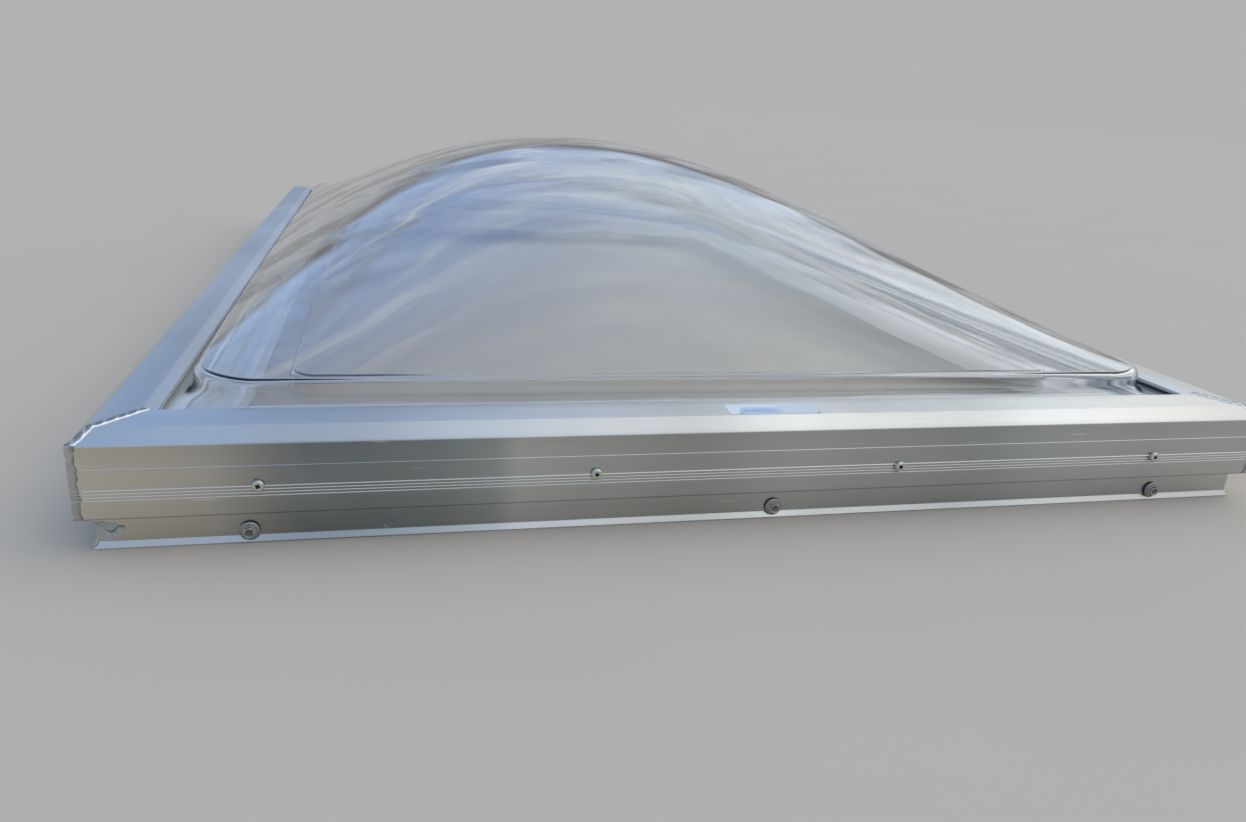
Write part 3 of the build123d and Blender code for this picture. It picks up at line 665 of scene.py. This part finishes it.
def label_sheet():
    """A thin sheet on the cap's sloped top, 81.5 by 20.5 mm; its far corner lifts by a smooth step."""
    s = np.linspace(0, 1, 60)[None, :]
    t = np.linspace(0, 1, 18)[:, None]
    u = BEVEL + 1.3 * MM + LABEL_HIGH * t + 0 * s
    x = LABEL_X + LABEL_LONG * (s - 0.5) + 0 * t
    curl = np.clip((s - 0.93) / 0.07, 0, 1) ** 2 * np.clip((0.35 - t) / 0.35, 0, 1) ** 2
    wrinkle = 0.06 * MM * np.sin(s * 31 + 5 * t) * np.sin(t * 9 + 2)
    z = cap_height(u) + 0.14 * MM + 1.1 * MM * curl + np.maximum(wrinkle, -0.04 * MM)
    form = closed_sheet(to_side("front", x, u, z), to_side("front", x, u, z - LABEL_THICK))
    piece = mesh_piece("label_sheet", "label", form, 50)
    uv = piece.data.uv_layers.new(name="sheet")
    plan = np.tile(np.stack(np.broadcast_arrays(s, t), -1).reshape(-1, 2), (2, 1))
    corners = np.zeros(len(piece.data.loops), np.int32)
    piece.data.loops.foreach_get("vertex_index", corners)
    uv.data.foreach_set("uv", plan[corners].ravel())
    return piece


def sealant_smear():
    """A lumpy smear on the leg's face that laps its corner, 19 by 15.5 mm.

    Its thickness is 1.3 mm * root(1 - d^2) * (0.66 + lumps), with d the distance in an oval of wavy edge.
    """
    s = np.linspace(0, 1, 64)[None, :]
    t = np.linspace(0, 1, 52)[:, None]
    x, z = LEG - WIDTH / 2 + SMEAR_LONG * s, SMEAR_Z + SMEAR_HIGH * t
    angle = np.arctan2(t - 0.5, s - 0.42)
    edge = 1 + 0.13 * np.sin(3 * angle + 1.1) + 0.09 * np.sin(7 * angle) + 0.05 * np.sin(13 * angle + 2)
    d = np.sqrt(((s - 0.42) / 0.55) ** 2 + ((t - 0.5) / 0.5) ** 2) / edge
    lumps = 0.16 * np.sin(s * 17 + 4 * t) * np.sin(t * 13 + 1) + 0.1 * np.sin(s * 41 - t * 23)
    thick = SMEAR_THICK * np.sqrt(np.clip(1 - d**2, 0, 1)) * (0.66 + lumps)
    crack = bell(t - 0.62 - 0.14 * np.sin(s * 9), 0.035) * np.clip((s - 0.25) * 4, 0, 1)
    thick *= 1 - 0.75 * crack
    face = to_side("front", x, LEG - thick + 0.05 * MM, z)
    back = to_side("front", x, LEG + SUNK + 0 * thick, z)
    form = closed_sheet(face, back)
    piece = mesh_piece("corner_sealant_smear", "corner_sealant", form, 60)
    point_values(piece, "crack", np.tile((crack * (d < 1)).ravel(), 2))
    return piece


def sealant_bead():
    """The bead down the leg's corner to its lip, which it follows outward at its foot.

    Its radius is 1.6 mm * (0.92 + waves of up to 0.1), and each end closes by a quarter circle.
    """
    rows, columns = 60, 24
    s = np.linspace(0, 1, rows)[:, None]
    angle = np.linspace(0, 2 * math.pi, columns + 1)[None, :-1]
    u = LEG + 0.5 * MM - 2.4 * MM * np.clip((s - 0.72) / 0.22, 0, 1)
    z = SEALANT_TOP - SEALANT_DROP * s
    ends = np.sqrt(np.clip(1 - np.clip(1 - np.minimum(s, 1 - s) / 0.08, 0, 1) ** 2, 0, 1))
    waves = 0.06 * np.sin(s * 29) + 0.04 * np.sin(s * 71 + 3 * angle)
    radius = SEALANT_RADIUS * (0.92 + waves) * ends + 0.02 * MM
    points = to_corner(0, u + radius * np.cos(angle), u + radius * np.sin(angle), z + 0 * angle)
    form = points.reshape(-1, 3), closed_tube(rows, columns)
    piece = mesh_piece("corner_sealant_bead", "corner_sealant", form, 60)
    point_values(piece, "crack", np.zeros(rows * columns))
    return piece


label, smear, bead = label_sheet(), sealant_smear(), sealant_bead()


# Material helpers

def material(name):
    """A new material with no nodes, and its node tree."""
    made = bpy.data.materials.new(name)
    made.use_nodes = True
    made.node_tree.nodes.clear()
    return made, made.node_tree


def fill(tree, node, inputs):
    """Sets a node's inputs to values, or links them to sockets."""
    for key, value in inputs.items():
        socket = node.inputs[key]
        if isinstance(value, bpy.types.NodeSocket):
            tree.links.new(value, socket)
        else:
            socket.default_value = value
    return node


def add(tree, kind, inputs=None, **settings):
    """A node of a kind, with its settings and its inputs."""
    node = tree.nodes.new(f"ShaderNode{kind}")
    for key, value in settings.items():
        setattr(node, key, value)
    return fill(tree, node, inputs or {})


def use(tree, node_group, **inputs):
    """A group's node in a material. Gives the sockets that the group puts out."""
    return fill(tree, add(tree, "Group", node_tree=node_group), inputs).outputs


def group(name, inputs, outputs):
    """A node group with a vector and named values that it takes, and named values that it puts out.

    Gives its tree, the sockets that it takes and the node that puts out.
    """
    tree = bpy.data.node_groups.new(name, "ShaderNodeTree")
    tree.interface.new_socket("Vector", in_out="INPUT", socket_type="NodeSocketVector")
    for label, value in inputs.items():
        tree.interface.new_socket(label, in_out="INPUT", socket_type="NodeSocketFloat").default_value = value
    for label in outputs:
        tree.interface.new_socket(label, in_out="OUTPUT", socket_type="NodeSocketFloat")
    return tree, tree.nodes.new("NodeGroupInput").outputs, tree.nodes.new("NodeGroupOutput")


def put_out(tree, end, **values):
    """Links what a group puts out, and gives its tree."""
    fill(tree, end, values)
    return tree


def maths(tree, operation, *values):
    """The result of one operation on two or three values."""
    return add(tree, "Math", dict(enumerate(values)), operation=operation).outputs[0]


def vectors(tree, operation, a, b):
    """The result of one operation on two vectors or colours."""
    return add(tree, "VectorMath", {0: a, 1: b}, operation=operation).outputs["Vector"]


def noise(tree, vector, *values):
    """A noise between 0 and 1, from its scale, its detail and, where given, roughness and distortion."""
    inputs = dict(zip(("Scale", "Detail", "Roughness", "Distortion"), values))
    return add(tree, "TexNoise", {"Vector": vector, **inputs}).outputs["Fac"]


def carried(tree, value, low=0.0, high=1.0, to=(0.0, 1.0), steps="LINEAR"):
    """A value between low and high, carried in a straight line to the range of to."""
    inputs = {"Value": value, "From Min": low, "From Max": high, "To Min": to[0], "To Max": to[1]}
    return add(tree, "MapRange", inputs, interpolation_type=steps).outputs["Result"]


def eased(tree, value, low, high, to=(0.0, 1.0)):
    """A value between low and high, carried by a smooth step to the range of to."""
    return carried(tree, value, low, high, to, "SMOOTHSTEP")


def ramp(tree, factor, stops):
    """A colour ramp with the given (place, grey or colour) stops."""
    node = add(tree, "ValToRGB", {"Fac": factor})
    elements = node.color_ramp.elements
    while len(elements) < len(stops):
        elements.new(0.5)
    for element, (place, value) in zip(elements, stops):
        element.position = place
        element.color = (*value, 1) if isinstance(value, tuple) else (value, value, value, 1)
    return node.outputs["Color"]


def mix(tree, factor, a, b):
    """A colour mix; a and b are colours or sockets."""
    a, b = [(*c, 1) if isinstance(c, tuple) else c for c in (a, b)]
    return add(tree, "Mix", {"Factor": factor, 6: a, 7: b}, data_type="RGBA").outputs[2]


def scaled(colour, by):
    """A colour times a number."""
    return tuple(part * by for part in colour)


def stretched(tree, vector, scale, turn=(0.0, 0.0, 0.0)):
    """A vector turned and scaled along each axis."""
    return add(tree, "Mapping", {"Vector": vector, "Rotation": turn, "Scale": scale}).outputs["Vector"]


def object_place(tree):
    """Where a point lies in its piece, in metres."""
    return add(tree, "TexCoord").outputs["Object"]


def axis(tree, vector, name):
    """One part of a vector."""
    return add(tree, "SeparateXYZ", {"Vector": vector}).outputs[name]


def point_value(tree, name):
    """A value that the piece's points carry."""
    return add(tree, "Attribute", attribute_name=name).outputs["Fac"]


def finish_material(made, shader):
    """Links a shader to its material's output."""
    out = add(made.node_tree, "OutputMaterial")
    made.node_tree.links.new(shader, out.inputs["Surface"])
    return made


def surface(made, colour, metallic, roughness, bump):
    """A material's one plain shader. The bump is its strength, its distance in metres and its height."""
    tree = made.node_tree
    raised = add(tree, "Bump", dict(zip(("Strength", "Distance", "Height"), bump))).outputs["Normal"]
    inputs = {"Base Color": colour, "Metallic": metallic, "Roughness": roughness, "Normal": raised}
    return finish_material(made, add(tree, "BsdfPrincipled", inputs).outputs["BSDF"])


# Effects that materials share

def die_lines_group():
    """Fine lines and broader tones that run the length of an extrusion."""
    tree, given, end = group("die_lines", {"Fine": 900.0, "Broad": 60.0}, ["Height", "Tone"])
    fine = noise(tree, given["Vector"], given["Fine"], 3.0, 0.6)
    broad = noise(tree, given["Vector"], given["Broad"], 2.0)
    return put_out(tree, end, Height=fine, Tone=broad)


def grime_group():
    """Soft patches of dirt, broken up by a finer noise."""
    tree, given, end = group("grime", {"Scale": 6.0, "Amount": 0.5}, ["Mask"])
    patch = noise(tree, given["Vector"], given["Scale"], 4.0, 0.55)
    low = maths(tree, "SUBTRACT", 0.6, given["Amount"])
    return put_out(tree, end, Mask=eased(tree, patch, low, 0.85))


def specks_group():
    """Small round marks, such as dried drops, where a share of the cells has one."""
    tree, given, end = group("specks", {"Scale": 120.0, "Size": 0.12, "Share": 0.25}, ["Mask"])
    cells = add(tree, "TexVoronoi", {"Vector": given["Vector"], "Scale": given["Scale"]}).outputs
    dot = eased(tree, cells["Distance"], given["Size"], 0.0)
    pick = add(tree, "SeparateColor", {"Color": cells["Color"]}).outputs["Red"]
    chosen = maths(tree, "LESS_THAN", pick, given["Share"])
    return put_out(tree, end, Mask=maths(tree, "MULTIPLY", dot, chosen))


def scratches_group():
    """Short thin scratches on a slant, in scattered patches."""
    tree, given, end = group("scratches", {"Share": 0.5}, ["Mask"])
    slanted = stretched(tree, given["Vector"], (18.0, 420.0, 420.0), (0.2, 0.1, 0.35))
    thin = eased(tree, noise(tree, slanted, 1.0, 1.0), 0.7, 0.76)
    where = eased(tree, noise(tree, given["Vector"], 7.0, 1.0), 0.52, 0.6)
    both = maths(tree, "MULTIPLY", thin, where)
    return put_out(tree, end, Mask=maths(tree, "MULTIPLY", both, given["Share"]))


def oxide_tones_group():
    """Soft bands across an extrusion, cool and darker or warm and paler, as mill finish has."""
    tree, given, end = group("oxide_tones", {"Scale": 4.0, "Depth": 0.16}, ["Tone", "Warmth"])
    band = noise(tree, given["Vector"], given["Scale"], 1.0, 0.4)
    dark = maths(tree, "SUBTRACT", 1.0, given["Depth"])
    pale = maths(tree, "ADD", 1.0, given["Depth"])
    moved = vectors(tree, "ADD", given["Vector"], (3.1, 3.1, 3.1))
    slow = maths(tree, "MULTIPLY", given["Scale"], 0.5)
    warm = noise(tree, moved, slow, 1.0, 0.4)
    tone = eased(tree, band, 0.36, 0.64, (dark, pale))
    return put_out(tree, end, Tone=tone, Warmth=eased(tree, warm, 0.4, 0.62))


DIE_LINES, GRIME, SPECKS = die_lines_group(), grime_group(), specks_group()
SCRATCHES, OXIDE_TONES = scratches_group(), oxide_tones_group()


# Materials

# The height over the lip's foot at which the ramps over height end.
RAMP_TOP = 0.1
# How strongly the painted reflections show over that height: less on the lip, fully on upright faces, not on
# slopes.
REFLECTION_SHARE = [(0.0, 0.6), (0.05, 0.6), (0.07, 1.0), (0.83, 1.0), (0.85, 0.0)]
# The painted shadow line along the cap's lower edge, where the skirt overhangs the leg, over the same height.
SHADOW_LINE = [(0.27, 1.0), (0.277, 0.55), (0.283, 0.55), (0.29, 1.0)]
# Painted shade on the welds over the same height: darker towards the bottom.
WELD_SHADE = [(0.28, 0.8), (0.74, 0.92), (0.87, 1.0)]
# Painted reflections: soft dark and pale bands that stand in for what the metal mirrors, from left to right
# over the reach
# set below, to each side of the middle: pale and warm, dark and green, then middling greys.
REFLECTION_REACH = 0.55
PAINTED_REFLECTIONS = [
    (0.03, (1.04, 0.96, 0.8)), (0.109, (0.86, 0.81, 0.72)), (0.15, (0.56, 0.55, 0.53)),
    (0.17, (0.43, 0.48, 0.49)), (0.26, (0.46, 0.51, 0.51)), (0.3, (0.6, 0.66, 0.65)),
    (0.315, (0.82, 0.83, 0.82)), (0.36, (0.7, 0.73, 0.73)), (0.86, (0.72, 0.74, 0.76)),
    (0.95, (0.86, 0.88, 0.9)),
]


def extruded_aluminium(name, stretch, across, tone=0.66):
    """Mill-finish aluminium: lines along it, bands of oxide across it, painted reflections, a painted shadow
    line at the cap's lower edge, drops and painted highlights on the crests.
    """
    made, tree = material(name)
    place = object_place(tree)
    lines = use(tree, DIE_LINES, Vector=stretched(tree, place, stretch), Fine=900.0, Broad=55.0)
    bands = use(tree, OXIDE_TONES, Vector=stretched(tree, place, across), Scale=4.2, Depth=0.12)
    dirt = use(tree, GRIME, Vector=place, Scale=5.0, Amount=0.1)["Mask"]
    drops = use(tree, SPECKS, Vector=place, Scale=60.0, Size=0.2, Share=0.05)["Mask"]
    marks = use(tree, SCRATCHES, Vector=place, Share=0.5)["Mask"]
    level = carried(tree, axis(tree, place, "Z"), 0.0, RAMP_TOP)
    # Painted reflections: tones by X that stand in for what the metal mirrors.
    reflection = ramp(tree, carried(tree, axis(tree, place, "X"), -REFLECTION_REACH, REFLECTION_REACH), PAINTED_REFLECTIONS)
    tint = mix(tree, bands["Warmth"], scaled((0.95, 0.98, 0.98), tone), scaled((1.03, 1.0, 0.95), tone))
    lined = vectors(tree, "MULTIPLY", tint, ramp(tree, lines["Tone"], [(0.3, 0.95), (0.7, 1.05)]))
    toned = add(tree, "VectorMath", {0: lined, "Scale": bands["Tone"]}, operation="SCALE").outputs["Vector"]
    # The painted reflections, shown more or less by height.
    reflected = mix(tree, ramp(tree, level, REFLECTION_SHARE), toned, vectors(tree, "MULTIPLY", toned, reflection))
    # A painted shadow line under the skirt's lower edge.
    shadow_lined = vectors(tree, "MULTIPLY", reflected, ramp(tree, level, SHADOW_LINE))
    dull = mix(tree, maths(tree, "MULTIPLY", dirt, 0.5), shadow_lined, scaled((0.7, 0.69, 0.66), tone))
    spotted = mix(tree, maths(tree, "MULTIPLY", drops, 0.5), dull, scaled((0.75, 0.75, 0.72), tone))
    scored = mix(tree, marks, spotted, (0.8, 0.8, 0.79))
    # Painted highlight along the crests of the ribs and of the fine line.
    colour = mix(tree, point_value(tree, "crest"), scored, (0.92, 0.92, 0.91))
    roughness = carried(tree, dirt, to=(0.3, 0.42))
    return surface(made, colour, 1.0, roughness, (0.2, 0.0002, lines["Height"]))


def weld_metal(name):
    """Painted highlights on the beads, painted shade in the hollows between the dimes and beside the corner
    beads, and scorch at the corner beads' tops.
    """
    made, tree = material(name)
    place = object_place(tree)
    grain = noise(tree, place, 700.0, 3.0, 0.6)
    hollow = point_value(tree, "hollow")
    bare = ramp(tree, grain, [(0.3, (0.5, 0.5, 0.49)), (0.7, (0.62, 0.62, 0.61))])
    # Painted shade where the hollow value is high, then painted highlights.
    dark = mix(tree, maths(tree, "MULTIPLY", hollow, 0.85), bare, (0.24, 0.24, 0.235))
    bright = mix(tree, point_value(tree, "weld_highlight"), dark, (0.95, 0.95, 0.94))
    level = carried(tree, axis(tree, place, "Z"), 0.0, RAMP_TOP)
    # Painted shade: the welds darken towards the bottom.
    colour = vectors(tree, "MULTIPLY", bright, ramp(tree, level, WELD_SHADE))
    return surface(made, colour, 1.0, carried(tree, hollow, to=(0.28, 0.5)), (0.3, 0.0002, grain))


def cured_sealant(name):
    """Pale grey sealant, dark along its cracks."""
    made, tree = material(name)
    grain = noise(tree, object_place(tree), 350.0, 5.0, 0.65)
    bare = ramp(tree, grain, [(0.3, (0.33, 0.335, 0.31)), (0.7, (0.52, 0.53, 0.5))])
    colour = mix(tree, point_value(tree, "crack"), bare, (0.07, 0.07, 0.06))
    return surface(made, colour, 0.0, 0.55, (0.5, 0.0004, grain))


def plain_label(name):
    """A blank film: white, with a pale blue band that widens towards one end of its lower edge."""
    made, tree = material(name)
    uv = add(tree, "UVMap", uv_map="sheet").outputs["UV"]
    along = axis(tree, uv, "X")
    bow = maths(tree, "SUBTRACT", along, 0.3)
    height = maths(tree, "MULTIPLY_ADD", maths(tree, "MULTIPLY", bow, bow), 1.3, axis(tree, uv, "Y"))
    raised = maths(tree, "ADD", height, eased(tree, along, 0.0, 0.18, (1.0, 0.0)))
    white, blue, pale = (0.84, 0.86, 0.88), (0.36, 0.49, 0.7), (0.56, 0.67, 0.8)
    stops = [(0.1, pale), (0.25, blue), (0.42, blue), (0.6, pale), (0.78, white), (1.0, white)]
    colour = mix(tree, eased(tree, along, 0.45, 0.66), ramp(tree, raised, stops), (0.7, 0.74, 0.78))
    grain = noise(tree, uv, 24.0, 4.0, 0.6)
    faded = mix(tree, carried(tree, grain, 0.4, 0.7, (0.0, 0.45)), colour, (0.72, 0.75, 0.76))
    return surface(made, faded, 0.0, 0.28, (0.2, 0.0002, grain))


def clear_acrylic(name):
    """Clear sheet with dust and dried drops. Lamps pass through it."""
    made, tree = material(name)
    place = object_place(tree)
    dust = use(tree, SPECKS, Vector=place, Scale=300.0, Size=0.14, Share=0.06)["Mask"]
    drops = use(tree, SPECKS, Vector=place, Scale=70.0, Size=0.09, Share=0.12)["Mask"]
    film = use(tree, GRIME, Vector=place, Scale=5.0, Amount=0.1)["Mask"]
    rough = carried(tree, film, to=(0.012, 0.05))
    marks = maths(tree, "MAXIMUM", dust, drops)
    spotted = add(tree, "Mix", {0: marks, 2: rough, 3: 0.5}, data_type="FLOAT").outputs[0]
    colour = mix(tree, marks, (0.975, 0.982, 0.985), (0.65, 0.65, 0.63))
    slow = noise(tree, place, 7.0, 1.0, 0.4)
    wave = add(tree, "Bump", {"Strength": 0.5, "Distance": 0.004, "Height": slow}).outputs["Normal"]
    inputs = {"Base Color": colour, "Metallic": 0.0, "Roughness": spotted, "Normal": wave}
    shader = add(tree, "BsdfPrincipled", {**inputs, "IOR": 1.49, "Transmission Weight": 1.0})
    through = add(tree, "BsdfTransparent", {"Color": (0.955, 0.96, 0.96, 1)})
    shadow = add(tree, "LightPath").outputs["Is Shadow Ray"]
    both = add(tree, "MixShader", {0: shadow, 1: shader.outputs["BSDF"], 2: through.outputs["BSDF"]})
    return finish_material(made, both.outputs["Shader"])


def plain_finish(name, colour, metallic, roughness, scale, tone, depth, dirt):
    """A grainy finish: fine noise in tone and height, with patches of dirt and painted shade in the screw
    heads' recesses.
    """
    made, tree = material(name)
    place = object_place(tree)
    grain = noise(tree, place, scale, 4.0, 0.6)
    patches = use(tree, GRIME, Vector=place, Scale=14.0, Amount=0.05)["Mask"]
    high = tuple(min(part, 1) for part in scaled(colour, 1 + tone))
    bare = ramp(tree, grain, [(0.3, scaled(colour, 1 - tone)), (0.7, high)])
    worn = mix(tree, maths(tree, "MULTIPLY", patches, dirt), bare, scaled(colour, 0.5))
    # Painted shade in recesses, where the points carry it.
    recess_shaded = mix(tree, point_value(tree, "recess_shade"), worn, scaled(colour, 0.12))
    return surface(made, recess_shaded, metallic, roughness, (0.4, depth, grain))


rail_x = extruded_aluminium("mill_aluminium_x", (0.012, 1.0, 1.0), (1.0, 0.25, 0.06))
rail_y = extruded_aluminium("mill_aluminium_y", (1.0, 0.012, 1.0), (0.25, 0.7, 0.06))
acrylic = clear_acrylic("clear_acrylic_sheet")
# Name, colour, metallic, roughness, the grain's scale, change of tone and depth in metres, and the dirt.
zinc = plain_finish("zinc_screw", (0.62, 0.64, 0.56), 1.0, 0.3, 900.0, 0.1, 0.0001, 0.6)
steel = plain_finish("weathered_steel", (0.52, 0.53, 0.5), 1.0, 0.4, 700.0, 0.15, 0.0001, 0.6)
washer_steel = plain_finish("washer_steel", (0.36, 0.375, 0.355), 1.0, 0.42, 700.0, 0.15, 0.0001, 0.6)
rubber = plain_finish("black_rubber", (0.075, 0.075, 0.072), 0.0, 0.7, 400.0, 0.2, 0.0003, 0.3)
foam = plain_finish("grey_foam", (0.7, 0.69, 0.66), 0.0, 0.8, 600.0, 0.18, 0.0006, 0.4)
white_foam = plain_finish("white_foam", (0.88, 0.88, 0.87), 0.0, 0.6, 500.0, 0.06, 0.0005, 0.2)
vinyl = plain_finish("white_vinyl", (0.86, 0.86, 0.84), 0.0, 0.35, 250.0, 0.03, 0.0001, 0.3)
sealant = cured_sealant("sealant_grey")
weld = weld_metal("weld_metal")
film = plain_label("label_film")


def dress(piece, made):
    """Puts one material in every slot of a piece."""
    if not piece.material_slots:
        piece.data.materials.append(made)
    for slot in piece.material_slots:
        slot.material = made


for side, piece in cap_rails.items():
    rail = rail_x if side in ("front", "back") else rail_y
    dress(piece, rail)
    dress(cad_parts[f"base_rail_{side}"], rail)
    dress(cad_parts[f"inner_trim_{side}"], vinyl)
for piece, made in (
    (outer_dome, acrylic),
    (inner_dome, acrylic),
    (weld_beads, weld),
    (cap_screws, zinc),
    (curb_screws, steel),
    (washers, washer_steel),
    (seals, rubber),
    (glazing_tape, foam),
    (spacer_tape, white_foam),
    (cap_gasket, rubber),
    (curb_seal, foam),
    (smear, sealant),
    (bead, sealant),
    (label, film),
    (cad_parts["corner_keys"], rail_x),
):
    dress(piece, made)


# Stage, light and camera

# Half the floor's side, and the far floor's tone, which the world's horizon takes up.
FLOOR_HALF, FLOOR_TONE = 60.0, (0.444, 0.447, 0.451)
# The fitted camera's turns in radians, its place, and its lens and sensor in millimetres.
CAMERA_TILT, CAMERA_PAN, CAMERA_ROLL = 0.32759, -0.26022, 0.06839
CAMERA_PLACE, LENS, SENSOR = (-0.29903, -1.49314, 0.33894), 26.58, 36.0


def floor_plane():
    """A pale floor that reaches the horizon."""
    side = np.array([-FLOOR_HALF, FLOOR_HALF])
    corners = np.stack(np.broadcast_arrays(side[None, :], side[:, None], 0.0), -1)
    mesh = bpy.data.meshes.new("floor")
    mesh.from_pydata(corners.reshape(-1, 3).tolist(), [], [[0, 1, 3, 2]])
    floor = bpy.data.objects.new("floor", mesh)
    scene.collection.objects.link(floor)
    made, tree = material("floor_pale")
    grain = noise(tree, object_place(tree), 3.0, 3.0)
    colour = ramp(tree, grain, [(0.3, (0.645, 0.555, 0.452)), (0.7, (0.658, 0.568, 0.465))])
    shader = add(tree, "BsdfPrincipled", {"Base Color": colour, "Roughness": 0.9, "Specular IOR Level": 0.2})
    dress(floor, finish_material(made, shader.outputs["BSDF"]))


def soft_sun(name, towards, strength, spread, colour):
    """A far soft lamp. It stands towards the given direction and spreads over so many degrees."""
    lamp = bpy.data.lights.new(name, "SUN")
    lamp.energy, lamp.angle, lamp.color = strength, math.radians(spread), colour
    made = bpy.data.objects.new(name, lamp)
    scene.collection.objects.link(made)
    made.matrix_world = Vector(towards).to_track_quat("Z", "Y").to_matrix().to_4x4()


def studio_world():
    """Soft light from all round, blue to the left, pale to the right, with long streaks and faint wisps.

    A quiet grey band lies low over a horizon of the floor's own tone.
    """
    world = bpy.data.worlds.new("studio")
    scene.world = world
    world.use_nodes = True
    tree = world.node_tree
    tree.nodes.clear()
    place = add(tree, "TexCoord").outputs["Generated"]
    up = axis(tree, place, "Z")
    drawn = stretched(tree, place, (1.0, 1.0, 6.0))
    streak = maths(tree, "SUBTRACT", noise(tree, drawn, 1.7, 4.0, 0.55), 0.5)
    wisp = eased(tree, noise(tree, drawn, 3.1, 5.0, 0.6, 0.5), 0.54, 0.72, (0.0, 0.45))
    towards = {0: place, 1: (0.9, -0.15, 0.15)}
    right = add(tree, "VectorMath", towards, operation="DOT_PRODUCT").outputs["Value"]
    drifted = maths(tree, "ADD", maths(tree, "MULTIPLY_ADD", streak, 0.9, right), wisp)
    cool = [(0.1, (0.42, 0.58, 0.86)), (0.22, (0.28, 0.43, 0.74)), (0.37, (0.5, 0.61, 0.83))]
    pale = [(0.52, (0.76, 0.87, 1.0)), (0.66, (0.93, 1.0, 1.07)), (0.73, (1.16, 1.2, 1.22))]
    grey = [(0.84, (0.86, 0.89, 0.92))]
    sky = ramp(tree, carried(tree, drifted, -0.5, 1.0), cool + pale + grey)
    horizon = [(0.0, FLOOR_TONE), (0.115, FLOOR_TONE), (0.135, (0.26, 0.27, 0.28)), (0.19, (0.3, 0.32, 0.36))]
    colour = mix(tree, eased(tree, up, 0.14, 0.19), ramp(tree, up, horizon), sky)
    light = add(tree, "Background", {"Color": colour, "Strength": 1.0})
    out = add(tree, "OutputWorld")
    tree.links.new(light.outputs["Background"], out.inputs["Surface"])


def turn_about(i, j, angle):
    """A turn that carries axis i towards axis j."""
    matrix = np.eye(3)
    matrix[i, i] = matrix[j, j] = math.cos(angle)
    matrix[j, i], matrix[i, j] = math.sin(angle), -math.sin(angle)
    return matrix


def camera():
    """The photograph's fitted camera: its three turns, its place and its lens."""
    turn = turn_about(0, 1, CAMERA_ROLL) @ turn_about(1, 2, CAMERA_TILT) @ turn_about(2, 0, CAMERA_PAN)
    turn = turn @ np.array([[1, 0, 0], [0, 0, -1], [0, 1, 0]])
    matrix = np.eye(4)
    matrix[:3, 0], matrix[:3, 1], matrix[:3, 2] = turn[0], -turn[1], -turn[2]
    matrix[:3, 3] = CAMERA_PLACE
    data = bpy.data.cameras.new("camera")
    data.lens, data.sensor_width, data.sensor_fit = LENS, SENSOR, "HORIZONTAL"
    data.clip_start, data.clip_end = 0.01, 100
    made = bpy.data.objects.new("camera", data)
    scene.collection.objects.link(made)
    made.matrix_world = Matrix(matrix.tolist())
    scene.camera = made


floor_plane()
studio_world()
soft_sun("key", towards=(0.75, -0.1, 0.65), strength=0.16, spread=60, colour=(1.0, 0.98, 0.96))
camera()
scene.view_settings.view_transform = "Standard"
